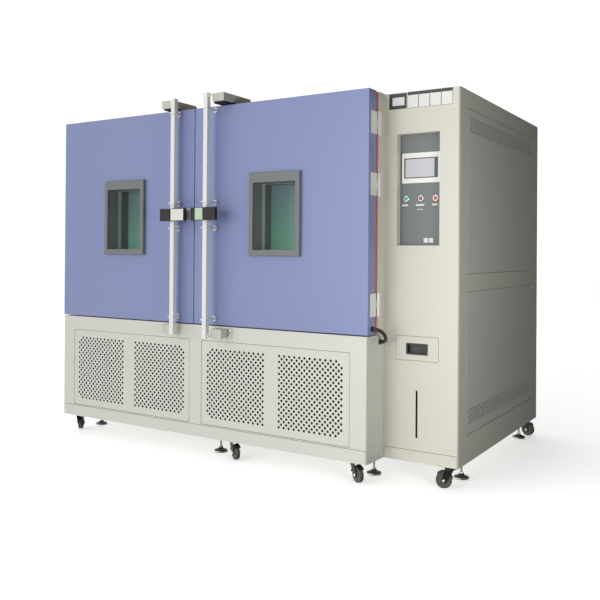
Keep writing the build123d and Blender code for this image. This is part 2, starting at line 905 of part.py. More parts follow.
def door_shell(door):
    """Outer pan: front skin, folded edges, a lip at the back and the hole for the window."""
    back = y_front + door_t - liner_t
    with BuildPart() as pan:
        block(door.x, (y_front, back), door.z)
        fillet(pan.faces().sort_by(Axis.Y)[0].edges(), door_edge_r)
        block(
            grown(door.x, -door_sheet),
            (y_front + door_sheet, back - door_sheet),
            grown(door.z, -door_sheet),
            mode=Mode.SUBTRACT,
        )
        block(
            grown(door.x, -door_lip),
            (back - 2 * door_sheet, back + 1),
            grown(door.z, -door_lip),
            mode=Mode.SUBTRACT,
        )
        block(
            grown(door.light_x, tunnel_t),
            (y_front - 1, y_front + door_sheet + 1),
            grown(door.light_z, tunnel_t),
            mode=Mode.SUBTRACT,
        )
    finish(pan, "door_" + door.name + "_shell")


def door_liner(door):
    """Stainless inner pan: a flat rim screwed to the door, and the plug that fills the opening."""
    rim_y = (y_front + door_t - liner_t, y_front + door_t)
    with BuildPart() as pan:
        block(grown(door.x, -1), rim_y, grown(door.z, -1))
        block(door.plug_x, (rim_y[0], tunnel_end), door.plug_z)
        block(
            grown(door.plug_x, -liner_t),
            (rim_y[0] - 1, tunnel_end - liner_t),
            grown(door.plug_z, -liner_t),
            mode=Mode.SUBTRACT,
        )
        block(
            grown(door.light_x, tunnel_t),
            (tunnel_end - liner_t - 1, tunnel_end + 1),
            grown(door.light_z, tunnel_t),
            mode=Mode.SUBTRACT,
        )
    finish(pan, "door_" + door.name + "_liner")


def door_seal(door):
    """Silicone gasket round the plug, squeezed between the door and the chamber's front."""
    y = (y_front + door_t, y_flange - seal_play)
    outer_x = grown(door.x, -seal_inset)
    outer_z = grown(door.z, -seal_inset)
    with BuildPart() as seal:
        block(outer_x, y, outer_z)
        block(grown(outer_x, -seal_w), grown(y, 1), grown(outer_z, -seal_w), mode=Mode.SUBTRACT)
    finish(seal, "door_" + door.name + "_seal")


def window_frame(door):
    """Frame that stands proud of the door, with the tunnel behind it and a spacer between panes."""
    front = y_front - window_proud
    with BuildPart() as frame:
        block(door.frame_x, (front, y_front), door.frame_z)
        chamfer(frame.faces().sort_by(Axis.Y)[0].edges(), 3)
        block(grown(door.light_x, tunnel_t), (y_front, tunnel_end), grown(door.light_z, tunnel_t))
        block(door.light_x, (front - 1, tunnel_end + 1), door.light_z, mode=Mode.SUBTRACT)
        spacer_y = (front + spacer_setback, front + spacer_setback + spacer_w)
        block(door.light_x, spacer_y, door.light_z)
        block(
            grown(door.light_x, -spacer_t),
            grown(spacer_y, 1),
            grown(door.light_z, -spacer_t),
            mode=Mode.SUBTRACT,
        )
    finish(frame, "window_frame_" + door.name)


def window_glass(door):
    """Three panes: near the front, behind the spacer and at the plug's face."""
    places = (
        y_front - window_proud + 8,
        y_front - window_proud + spacer_setback + spacer_w,
        tunnel_end - pane_t - 3,
    )
    with BuildPart() as panes:
        for y in places:
            block(
                grown(door.light_x, -pane_play),
                (y, y + pane_t),
                grown(door.light_z, -pane_play),
            )
    finish(panes, "window_glass_" + door.name)


def door_hinges(door):
    """Door leaves: a plate on the door's edge with the middle knuckle, bored for the pin."""
    out = door.side
    with BuildPart() as leaves:
        for height in hinge_heights:
            low = z_body + height - hinge_h / 2
            third = hinge_h / 3
            block(
                sorted((door.hinge_x, door.hinge_x + out * hinge_leaf_t)),
                (y_front + hinge_leaf_front, y_axis - hinge_knuckle_r - 1),
                (low, low + hinge_h),
            )
            middle = (low + third + hinge_knuckle_play, low + 2 * third - hinge_knuckle_play)
            block(
                sorted((door.hinge_x, door.hinge_x + out * hinge_leaf_t)),
                (y_axis - hinge_knuckle_r - 2, y_axis),
                middle,
            )
            rod((door.axis_x, y_axis, middle[0]), (door.axis_x, y_axis, middle[1]), hinge_knuckle_r)
            rod(
                (door.axis_x, y_axis, middle[0] - 1),
                (door.axis_x, y_axis, middle[1] + 1),
                hinge_pin_r + hinge_pin_play,
                mode=Mode.SUBTRACT,
            )
    finish(leaves, "hinge_leaves_" + door.name)


def rod_guides(door):
    """Turned posts on the door, each with a flat eye plate that the lock rod's neck turns in."""
    rod_sweep = hypot(rod_w / 2, rod_w / 2)
    with BuildPart() as guides:
        for height in guide_heights:
            z = z_body + height
            centre = (door.rod_x, y_front, z)
            with BuildSketch(Plane(origin=centre, z_dir=(0, -1, 0))):
                Circle(guide_foot_r)
            extrude(amount=guide_foot_t)
            eye_back = door.rod_y + rod_sweep + guide_post_play
            rod(centre, (door.rod_x, eye_back, z), guide_post_r)
            block(
                grown((door.rod_x, door.rod_x), rod_w / 2 + guide_rim),
                (door.rod_y - rod_w / 2 - guide_rim, eye_back + guide_t),
                (z - guide_t / 2, z + guide_t / 2),
            )
            rod(
                (door.rod_x, door.rod_y, z - guide_t),
                (door.rod_x, door.rod_y, z + guide_t),
                rod_neck_r + guide_play,
                mode=Mode.SUBTRACT,
            )
        if door.side < 0:
            block(
                (x_seam - catch_edge - catch_w, x_seam - catch_edge),
                (y_front - catch_t, y_front),
                (z_body + handle_z - handle_h / 2, z_body + handle_z + handle_h / 2),
            )
    finish(guides, "lock_guides_" + door.name)


def lock_rod(door):
    """Square tube, necked down at each guide, with a cam pin towards the keeper near each end."""
    towards = door.side
    foot, head = z_body + rod_foot, z_body + rod_head
    wide = (door.rod_x - rod_w / 2, door.rod_x + rod_w / 2)
    deep = (door.rod_y - rod_w / 2, door.rod_y + rod_w / 2)
    with BuildPart() as bar:
        block(wide, deep, (foot, head))
        chamfer(bar.edges().filter_by(Axis.Z), rod_chamfer)
        block(
            grown(wide, -rod_wall),
            grown(deep, -rod_wall),
            (foot - 1, z_body + guide_heights[0] - rod_w),
            mode=Mode.SUBTRACT,
        )
        for height in guide_heights:
            neck = guide_t / 2 + guide_neck_play
            z = (z_body + height - neck, z_body + height + neck)
            block(grown(wide, 1), grown(deep, 1), z, mode=Mode.SUBTRACT)
            rod((door.rod_x, door.rod_y, z[0] - 1), (door.rod_x, door.rod_y, z[1] + 1), rod_neck_r)
        for z in (foot + cam_pin_inset, head - cam_pin_inset):
            rod(
                (door.rod_x + towards * rod_w / 2, door.rod_y, z),
                (door.rod_x + towards * cam_pin_reach, door.rod_y, z),
                cam_pin_r,
            )
    finish(bar, "lock_bar_" + door.name)


def lock_handle(door):
    """Grip on the hinge side of the rod, flat plate on the seam side, and a clamp round the rod."""
    out = door.side
    grip = right_grip_reach if out > 0 else left_grip_reach
    plate = right_plate_reach if out > 0 else left_plate_reach
    z = (z_body + handle_z - handle_h / 2, z_body + handle_z + handle_h / 2)
    front = door.rod_y - rod_w / 2 - handle_t
    plate_x = sorted((door.rod_x, door.rod_x - out * plate))
    with BuildPart() as handle:
        block(sorted((door.rod_x, door.rod_x + out * grip)), (front, door.rod_y - rod_w / 2), z)
        fillet(handle.edges().filter_by(Axis.Z).group_by(Axis.Y)[0], 5)
        block(plate_x, (front + 3, door.rod_y - rod_w / 2), z)
        block(
            (plate_x[0] + plate_inset, plate_x[1] - plate_inset),
            (front, front + 3 + plate_recess),
            grown(z, -plate_inset),
            mode=Mode.SUBTRACT,
        )
        hub_y = (door.rod_y - rod_w / 2 - 1, door.rod_y + hub_half)
        block(grown((door.rod_x, door.rod_x), hub_half), hub_y, z)
        block(
            grown((door.rod_x, door.rod_x), rod_w / 2 + handle_play),
            grown((door.rod_y, door.rod_y), rod_w / 2 + handle_play),
            grown(z, 1),
            mode=Mode.SUBTRACT,
        )
    finish(handle, "lock_handle_" + door.name)


doors = (Door(1), Door(-1))
for door in doors:
    door_shell(door)
    door_liner(door)
    door_seal(door)
    window_frame(door)
    window_glass(door)
    door_hinges(door)
    rod_guides(door)
    lock_rod(door)
    lock_handle(door)

with BuildPart() as hinge_leaves_cabinet:
    for door in doors:
        plate_x = sorted((door.hinge_x, door.hinge_x + door.side * hinge_leaf_t))
        for height in hinge_heights:
            low = z_body + height - hinge_h / 2
            third = hinge_h / 3
            block(plate_x, (y_flange, y_front + hinge_leaf_back), (low, low + hinge_h))
            for z in ((low, low + third), (low + 2 * third, low + hinge_h)):
                block(plate_x, (y_axis, y_flange + 1), z)
                rod((door.axis_x, y_axis, z[0]), (door.axis_x, y_axis, z[1]), hinge_knuckle_r)
            rod((door.axis_x, y_axis, low - 3), (door.axis_x, y_axis, low + hinge_h + 3), hinge_pin_r)
finish(hinge_leaves_cabinet, "hinge_leaves_cabinet")

with BuildPart() as lock_keepers:
    for door in doors:
        inner = door.rod_x + door.side * (rod_w / 2 + keeper_gap)
        beam_x = tuple(sorted((inner, inner + door.side * beam_w)))
        front = door.rod_y + keeper_setback
        beam_z = (z_top + beam_lift, z_top + beam_lift + beam_h)
        beam_back = y_front + beam_reach
        # Side outline of the beam: a flat box that slopes down at its far end
        with BuildSketch(Plane(origin=(beam_x[0], 0, 0), x_dir=(0, 1, 0), z_dir=(1, 0, 0))):
            with BuildLine():
                Polyline(
                    (front, beam_z[0]),
                    (beam_back + beam_bevel, beam_z[0]),
                    (beam_back, beam_z[1]),
                    (front, beam_z[1]),
                    close=True,
                )
            make_face()
        extrude(amount=beam_w)
        block(
            grown(beam_x, -beam_t),
            (front + 12, beam_back - beam_t),
            grown(beam_z, -beam_t),
            mode=Mode.SUBTRACT,
        )
        block(beam_x, (y_flange + sheet, beam_back + beam_bevel), (z_top, beam_z[0]))
        # Slot in the beam's side, where the cam pin's hook goes in
        block(
            grown((inner, inner), beam_t + 1),
            (front + 14, front + 14 + keeper_pocket),
            grown(beam_z, -10),
            mode=Mode.SUBTRACT,
        )
        low = z_body + keeper_z
        keeper_x = sorted((inner, inner + door.side * keeper_w))
        block(keeper_x, (front, y_front), (low, low + keeper_h))
        block(
            grown((inner, inner), keeper_pocket),
            (front + 8, front + 8 + keeper_pocket),
            (low + 10, low + keeper_h - 10),
            mode=Mode.SUBTRACT,
        )
finish(lock_keepers, "lock_keepers")

# Conduit with the window heaters' leads: out of the door's edge, round a loop, into the base

conduit_route = [
    (x_joint + conduit_play, y_front + conduit_door_setback, z_body + conduit_door_z),
    (x_joint + 24, y_front + conduit_door_setback, z_body + conduit_door_z),
    (x_joint + 42, y_front + conduit_door_setback + 14, z_body + conduit_door_z - 10),
    (x_joint + 50, y_front + conduit_door_setback + 36, z_body + conduit_door_z - 30),
    (x_joint + 42, y_front + conduit_base_setback - 22, z_body + conduit_base_z + 18),
    (x_joint + 26, y_front + conduit_base_setback, z_body + conduit_base_z),
    (x_joint + conduit_play, y_front + conduit_base_setback, z_body + conduit_base_z),
]


def bend_radii(route):
    """Radius at each inner corner: 0.45 of the shorter run over the tangent of half the turn."""
    radii = []
    points = [Vector(*p) for p in route]
    for before, corner, after in zip(points, points[1:], points[2:]):
        turn = (corner - before).get_angle(after - corner)
        shorter = min((corner - before).length, (after - corner).length)
        half = turn / 2 * 3.141592653589793 / 180
        radii.append(0.45 * shorter / (half + half ** 3 / 3))
    return radii


conduit_radii = bend_radii(conduit_route)
print("conduit radii", [round(r) for r in conduit_radii])
with BuildPart() as door_conduit:
    with BuildLine() as conduit_path:
        FilletPolyline(*conduit_route, radius=conduit_radii)
    with BuildSketch(Plane(origin=conduit_path.line @ 0, z_dir=conduit_path.line % 0)):
        Circle(conduit_r)
    sweep()
print("conduit length", round(sum(edge.length for edge in conduit_path.edges()), 1))
finish(door_conduit, "door_conduit")


# Casters and levelling feet

# Centre of each caster's swivel and the direction in which its wheel trails
caster_places = (
    (x_left + left_wheel_in, y_front + front_wheel_back, (-0.55, 0.83)),
    (x_seam + seam_wheel_right, y_front + front_wheel_back, (0.85, -0.50)),
    (x_joint - joint_wheel_in, y_front + front_wheel_back, (0.85, -0.50)),
    (x_right - edge_wheel_in, y_column + column_wheel_back, (-0.94, -0.34)),
    (x_left + left_wheel_in, y_back - 90, (-0.60, 0.80)),
    (x_right - rear_wheel_in, y_back - rear_wheel_front, (0.94, -0.25)),
)

plate_foot = z_body - caster_plate_t
race_foot = plate_foot - race_t
head_top = race_foot - swivel_play
head_foot = head_top - fork_head_t

with BuildPart() as caster_plates:
    for x, y, aim in caster_places:
        block(
            grown((x, x), caster_plate_x / 2),
            grown((y, y), caster_plate_y / 2),
            (plate_foot, z_body),
        )
        rod((x, y, race_foot), (x, y, plate_foot), race_r)
        rod((x, y, head_foot - 4), (x, y, plate_foot), kingpin_r)
finish(caster_plates, "caster_plates")


def caster_fork(name, x, y, aim):
    """Swivel head bored for the kingpin, two raked legs, and the axle across them."""
    length = hypot(*aim)
    along = (aim[0] / length, aim[1] / length)
    across = (-along[1], along[0])
    axle_x, axle_y = x + along[0] * caster_trail, y + along[1] * caster_trail
    leg_inner = wheel_w / 2 + fork_gap
    with BuildPart() as fork:
        rod((x, y, head_foot), (x, y, head_top), fork_head_r)
        for hand in (-1, 1):
            inner = hand * leg_inner
            origin = (x + across[0] * inner, y + across[1] * inner, 0)
            leg_plane = Plane(origin=origin, x_dir=(along[0], along[1], 0), z_dir=(across[0], across[1], 0))
            leg_up = leg_plane.to_local_coords(Vector(*origin) + Vector(0, 0, 1)).Y
            with BuildSketch(leg_plane):
                with BuildLine():
                    Polyline(
                        (-fork_head_r * 0.78, leg_up * head_top),
                        (fork_head_r * 0.78, leg_up * head_top),
                        (caster_trail + fork_w / 3, leg_up * (wheel_r + 4)),
                        (caster_trail + fork_w / 4, leg_up * (wheel_r - 11)),
                        (caster_trail - fork_w / 4, leg_up * (wheel_r - 11)),
                        (caster_trail - fork_w / 2, leg_up * (wheel_r + 4)),
                        close=True,
                    )
                make_face()
            extrude(amount=hand * fork_t)
        reach = leg_inner + fork_t + 4
        rod(
            (axle_x - across[0] * reach, axle_y - across[1] * reach, wheel_r),
            (axle_x + across[0] * reach, axle_y + across[1] * reach, wheel_r),
            axle_r,
        )
        rod((x, y, head_foot - 5), (x, y, head_top + 1), kingpin_r + kingpin_play, mode=Mode.SUBTRACT)
    finish(fork, name)


def caster_wheel(name, x, y, aim):
    """Tyre and hub turned as one, hollowed on both faces and bored for the axle."""
    length = hypot(*aim)
    along = (aim[0] / length, aim[1] / length)
    axle = (x + along[0] * caster_trail, y + along[1] * caster_trail, wheel_r)
    with BuildPart() as wheel:
        with BuildSketch(Plane(origin=axle, x_dir=(-along[1], along[0], 0), z_dir=(along[0], along[1], 0))):
            with BuildLine():
                Polyline(
                    (-wheel_w / 2, wheel_bore_r),
                    (-wheel_w / 2, 14),
                    (-wheel_w / 2 + 4, 18),
                    (-wheel_w / 2 + 4, 27),
                    (-wheel_w / 2 + 1, 31),
                    (-wheel_w / 2 + 4, wheel_r),
                    (wheel_w / 2 - 4, wheel_r),
                    (wheel_w / 2 - 1, 31),
                    (wheel_w / 2 - 4, 27),
                    (wheel_w / 2 - 4, 18),
                    (wheel_w / 2, 14),
                    (wheel_w / 2, wheel_bore_r),
                    close=True,
                )
            make_face()
        revolve(axis=Axis(axle, (-along[1], along[0], 0)))
    finish(wheel, name)


for number, (x, y, aim) in enumerate(caster_places, start=1):
    caster_fork("caster_fork_%d" % number, x, y, aim)
    caster_wheel("caster_wheel_%d" % number, x, y, aim)

with BuildPart() as levelling_feet:
    for x, y in foot_places:
        with BuildSketch(Plane(origin=(x, y, 0), x_dir=(1, 0, 0), z_dir=(0, -1, 0))):
            with BuildLine():
                Polyline(
                    (0, 0),
                    (foot_pad_r, 0),
                    (foot_pad_r, 4),
                    (foot_pad_r * 0.86, foot_pad_t * 0.72),
                    (foot_nut_r, foot_pad_t + 4),
                    (foot_nut_r, foot_pad_t + 4 + foot_nut_t),
                    (foot_stem_r, foot_pad_t + 4 + foot_nut_t),
                    (foot_stem_r, z_body - glass_play),
                    (0, z_body - glass_play),
                    close=True,
                )
            make_face()
        revolve(axis=Axis((x, y, 0), (0, 0, 1)))
finish(levelling_feet, "levelling_feet")
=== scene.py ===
import json
from math import cos, sin

import bmesh
import bpy
import numpy as np
from mathutils import Matrix, Vector


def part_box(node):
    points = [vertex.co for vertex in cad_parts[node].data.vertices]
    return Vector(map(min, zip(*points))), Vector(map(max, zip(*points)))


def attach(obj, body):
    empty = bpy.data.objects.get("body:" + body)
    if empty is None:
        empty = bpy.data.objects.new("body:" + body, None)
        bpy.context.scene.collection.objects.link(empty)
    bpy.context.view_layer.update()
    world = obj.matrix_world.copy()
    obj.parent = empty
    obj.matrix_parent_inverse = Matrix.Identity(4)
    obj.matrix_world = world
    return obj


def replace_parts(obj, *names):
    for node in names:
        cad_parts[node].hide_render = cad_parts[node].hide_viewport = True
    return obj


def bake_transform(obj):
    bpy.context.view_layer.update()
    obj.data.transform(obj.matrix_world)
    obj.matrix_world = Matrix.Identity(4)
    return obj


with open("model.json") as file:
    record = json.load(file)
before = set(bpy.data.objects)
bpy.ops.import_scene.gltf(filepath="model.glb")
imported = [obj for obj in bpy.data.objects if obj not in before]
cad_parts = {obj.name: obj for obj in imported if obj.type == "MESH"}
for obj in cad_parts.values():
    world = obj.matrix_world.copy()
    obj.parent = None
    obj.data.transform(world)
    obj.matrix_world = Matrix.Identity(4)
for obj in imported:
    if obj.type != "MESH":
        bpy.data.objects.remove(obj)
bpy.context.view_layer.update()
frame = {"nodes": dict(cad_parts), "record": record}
NODES = frame["nodes"]

# Lattice of the perforated fields, in metres
CELL = 0.01475
HOLE_R = 0.0066
HOLE_STEPS = 16

# Camera: place, heading, pitch and roll that match the photograph
CAMERA_PLACE = (2.4435, -3.8529, 1.0890)
CAMERA_YAW = 0.559237
CAMERA_PITCH = -0.005537
CAMERA_ROLL = 0.007218
FOCAL_PX = 761.85
CENTRE_ROW_PX = 248.06
FRAME_PX = 600.0
SENSOR_MM = 36.0
FAR_CLIP = 60.0


def srgb(r, g, b):
    """Linear colour from 8-bit display values: (v / 255) to the power 2.2."""
    return tuple((v / 255.0) ** 2.2 for v in (r, g, b)) + (1.0,)


# Shared shader node groups

# Noise scales are per metre, bump distances in metres
DRIFT_SCALE = 2.2
DRIFT_DETAIL = 3.0
PEEL_DEPTH = 0.001
GLOSS_SPREAD = 0.10
BRUSH_SCALE = (900.0, 900.0, 12.0)
BRUSH_STRENGTH = 0.06
BRUSH_DEPTH = 0.0005
COAT_ROUGHNESS = 0.12
PAINT_GRAIN = 420.0
MOULD_GRAIN = 900.0
PLATE_GRAIN = 260.0


def group_socket(tree, name, kind, way, value=None):
    """Adds one input or output to a node group and sets its default."""
    made = tree.interface.new_socket(name=name, in_out=way, socket_type=kind)
    if value is not None:
        made.default_value = value
    return made


def make_paint_group():
    """Paint, plastic or plating: a colour that drifts by a few percent over half a metre, and a fine
    grain that gives both the normal and a small spread of roughness."""
    tree = bpy.data.node_groups.new("paint_surface", "ShaderNodeTree")
    group_socket(tree, "Color", "NodeSocketColor", "INPUT", (0.8, 0.8, 0.8, 1))
    group_socket(tree, "Drift", "NodeSocketFloat", "INPUT", 0.04)
    group_socket(tree, "Peel", "NodeSocketFloat", "INPUT", 0.02)
    group_socket(tree, "Color", "NodeSocketColor", "OUTPUT")
    group_socket(tree, "Rough", "NodeSocketFloat", "INPUT", 0.4)
    group_socket(tree, "Grain", "NodeSocketFloat", "INPUT", PAINT_GRAIN)
    group_socket(tree, "Normal", "NodeSocketVector", "OUTPUT")
    group_socket(tree, "Roughness", "NodeSocketFloat", "OUTPUT")
    nodes, links = tree.nodes, tree.links
    start = nodes.new("NodeGroupInput")
    end = nodes.new("NodeGroupOutput")
    place = nodes.new("ShaderNodeTexCoord")
    broad = nodes.new("ShaderNodeTexNoise")
    broad.inputs["Scale"].default_value = DRIFT_SCALE
    broad.inputs["Detail"].default_value = DRIFT_DETAIL
    links.new(place.outputs["Object"], broad.inputs["Vector"])
    spread = nodes.new("ShaderNodeMath")
    spread.operation = "MULTIPLY_ADD"
    links.new(broad.outputs["Fac"], spread.inputs[0])
    links.new(start.outputs["Drift"], spread.inputs[1])
    offset = nodes.new("ShaderNodeMath")
    offset.operation = "MULTIPLY_ADD"
    offset.inputs[1].default_value = -0.5
    offset.inputs[2].default_value = 1.0
    links.new(start.outputs["Drift"], offset.inputs[0])
    links.new(offset.outputs[0], spread.inputs[2])
    shade = nodes.new("ShaderNodeVectorMath")
    shade.operation = "SCALE"
    links.new(start.outputs["Color"], shade.inputs[0])
    links.new(spread.outputs[0], shade.inputs["Scale"])
    links.new(shade.outputs[0], end.inputs["Color"])
    fine = nodes.new("ShaderNodeTexNoise")
    links.new(start.outputs["Grain"], fine.inputs["Scale"])
    links.new(place.outputs["Object"], fine.inputs["Vector"])
    bump = nodes.new("ShaderNodeBump")
    bump.inputs["Distance"].default_value = PEEL_DEPTH
    links.new(start.outputs["Peel"], bump.inputs["Strength"])
    links.new(fine.outputs["Fac"], bump.inputs["Height"])
    links.new(bump.outputs["Normal"], end.inputs["Normal"])
    gloss = nodes.new("ShaderNodeMath")
    gloss.operation = "MULTIPLY_ADD"
    gloss.inputs[1].default_value = GLOSS_SPREAD
    links.new(fine.outputs["Fac"], gloss.inputs[0])
    links.new(start.outputs["Rough"], gloss.inputs[2])
    links.new(gloss.outputs[0], end.inputs["Roughness"])
    return tree


def make_brushed_group():
    """Brushed metal: noise stretched along Z, for roughness and a faint normal."""
    tree = bpy.data.node_groups.new("brushed_surface", "ShaderNodeTree")
    group_socket(tree, "Low", "NodeSocketFloat", "INPUT", 0.25)
    group_socket(tree, "High", "NodeSocketFloat", "INPUT", 0.45)
    group_socket(tree, "Roughness", "NodeSocketFloat", "OUTPUT")
    group_socket(tree, "Normal", "NodeSocketVector", "OUTPUT")
    nodes, links = tree.nodes, tree.links
    start = nodes.new("NodeGroupInput")
    end = nodes.new("NodeGroupOutput")
    place = nodes.new("ShaderNodeTexCoord")
    stretch = nodes.new("ShaderNodeMapping")
    stretch.inputs["Scale"].default_value = BRUSH_SCALE
    links.new(place.outputs["Object"], stretch.inputs["Vector"])
    grain = nodes.new("ShaderNodeTexNoise")
    grain.inputs["Scale"].default_value = 1.0
    links.new(stretch.outputs["Vector"], grain.inputs["Vector"])
    span = nodes.new("ShaderNodeMapRange")
    links.new(grain.outputs["Fac"], span.inputs["Value"])
    links.new(start.outputs["Low"], span.inputs["To Min"])
    links.new(start.outputs["High"], span.inputs["To Max"])
    links.new(span.outputs["Result"], end.inputs["Roughness"])
    bump = nodes.new("ShaderNodeBump")
    bump.inputs["Strength"].default_value = BRUSH_STRENGTH
    bump.inputs["Distance"].default_value = BRUSH_DEPTH
    links.new(grain.outputs["Fac"], bump.inputs["Height"])
    links.new(bump.outputs["Normal"], end.inputs["Normal"])
    return tree


PAINT = make_paint_group()
BRUSHED = make_brushed_group()


def new_material(name, colour, roughness, metallic=0.0):
    """A material with one Principled shader and its plain values set."""
    made = bpy.data.materials.new(name)
    made.use_nodes = True
    shader = made.node_tree.nodes["Principled BSDF"]
    shader.inputs["Base Color"].default_value = colour
    shader.inputs["Roughness"].default_value = roughness
    shader.inputs["Metallic"].default_value = metallic
    return made, shader


def painted(name, colour, roughness, drift=0.04, peel=0.03, coat=0.0, metallic=0.0, grain=PAINT_GRAIN):
    """A painted, moulded or plated surface with a slight drift of colour and a fine grain."""
    made, shader = new_material(name, colour, roughness, metallic)
    group = made.node_tree.nodes.new("ShaderNodeGroup")
    group.node_tree = PAINT
    group.inputs["Color"].default_value = colour
    group.inputs["Drift"].default_value = drift
    group.inputs["Peel"].default_value = peel
    group.inputs["Rough"].default_value = roughness - GLOSS_SPREAD / 2
    group.inputs["Grain"].default_value = grain
    made.node_tree.links.new(group.outputs["Roughness"], shader.inputs["Roughness"])
    made.node_tree.links.new(group.outputs["Color"], shader.inputs["Base Color"])
    made.node_tree.links.new(group.outputs["Normal"], shader.inputs["Normal"])
    shader.inputs["Coat Weight"].default_value = coat
    shader.inputs["Coat Roughness"].default_value = COAT_ROUGHNESS
    return made


def brushed(name, colour, low, high, metallic=1.0):
    """Brushed metal, its roughness between low and high."""
    made, shader = new_material(name, colour, low, metallic)
    group = made.node_tree.nodes.new("ShaderNodeGroup")
    group.node_tree = BRUSHED
    group.inputs["Low"].default_value = low
    group.inputs["High"].default_value = high
    made.node_tree.links.new(group.outputs["Roughness"], shader.inputs["Roughness"])
    made.node_tree.links.new(group.outputs["Normal"], shader.inputs["Normal"])
    return made


def moulded(name, colour, roughness, coat=0.0):
    """Plastic or rubber with a fine moulded grain."""
    return painted(name, colour, roughness, 0.08, 0.06, coat, 0.0, MOULD_GRAIN)


def plated(name, colour, roughness, metallic=1.0):
    """Plated metal, nearly smooth."""
    return painted(name, colour, roughness, 0.03, 0.01, 0.0, metallic, PLATE_GRAIN)


PANE_FOOT = srgb(104, 160, 136)
PANE_TOP = srgb(104, 130, 134)
PANE_CLEAR = srgb(120, 124, 124)
# Strength of the inner pane's painted glow, which stands in for light from the chamber's lit inside
PANE_PAINTED_GLOW = 0.36
PANE_ALPHA = (0.05, 0.92)
PANE_ROUGHNESS = 0.06
PANE_T = 0.005
# The tint runs from the first height to the second
TINT_Z = (1.10, 1.44)
INNER_PANE_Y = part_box("window_glass_right")[1].y - PANE_T
# The material turns from clear to tinted between these two distances in front of the inner pane
PANE_TURN = (0.02, 0.01)


def window_panes(name, low_z, high_z, inner_y):
    """Glass of the three panes in a window. Object Y picks the inner pane, which is tinted from green
    at its foot to slate at its top and glows faintly, a painted glow that stands in for light from the
    chamber's lit inside. The other panes are nearly clear."""
    made, shader = new_material(name, PANE_CLEAR, PANE_ROUGHNESS)
    nodes, links = made.node_tree.nodes, made.node_tree.links
    place = nodes.new("ShaderNodeTexCoord")
    parts = nodes.new("ShaderNodeSeparateXYZ")
    links.new(place.outputs["Object"], parts.inputs["Vector"])
    height = nodes.new("ShaderNodeMapRange")
    height.interpolation_type = "SMOOTHSTEP"
    height.inputs["From Min"].default_value = low_z
    height.inputs["From Max"].default_value = high_z
    links.new(parts.outputs["Z"], height.inputs["Value"])
    tint = nodes.new("ShaderNodeMix")
    tint.data_type = "RGBA"
    tint.inputs["A"].default_value = PANE_FOOT
    tint.inputs["B"].default_value = PANE_TOP
    links.new(height.outputs["Result"], tint.inputs["Factor"])
    inner = nodes.new("ShaderNodeMapRange")
    inner.inputs["From Min"].default_value = inner_y - PANE_TURN[0]
    inner.inputs["From Max"].default_value = inner_y - PANE_TURN[1]
    links.new(parts.outputs["Y"], inner.inputs["Value"])
    pane = nodes.new("ShaderNodeMix")
    pane.data_type = "RGBA"
    pane.inputs["A"].default_value = PANE_CLEAR
    links.new(inner.outputs["Result"], pane.inputs["Factor"])
    links.new(tint.outputs["Result"], pane.inputs["B"])
    links.new(pane.outputs["Result"], shader.inputs["Base Color"])
    # Painted glow: the inner pane emits its own tint
    links.new(tint.outputs["Result"], shader.inputs["Emission Color"])
    for socket, low, high in (("Alpha", *PANE_ALPHA), ("Emission Strength", 0.0, PANE_PAINTED_GLOW)):
        span = nodes.new("ShaderNodeMapRange")
        span.inputs["To Min"].default_value = low
        span.inputs["To Max"].default_value = high
        links.new(inner.outputs["Result"], span.inputs["Value"])
        links.new(span.outputs["Result"], shader.inputs[socket])
    made.blend_method = "BLEND"
    return made


def glowing(name, colour, strength):
    """A lit surface of one colour."""
    made = painted(name, colour, 0.4, 0.03, 0.0)
    shader = made.node_tree.nodes["Principled BSDF"]
    shader.inputs["Emission Color"].default_value = colour
    shader.inputs["Emission Strength"].default_value = strength
    return made


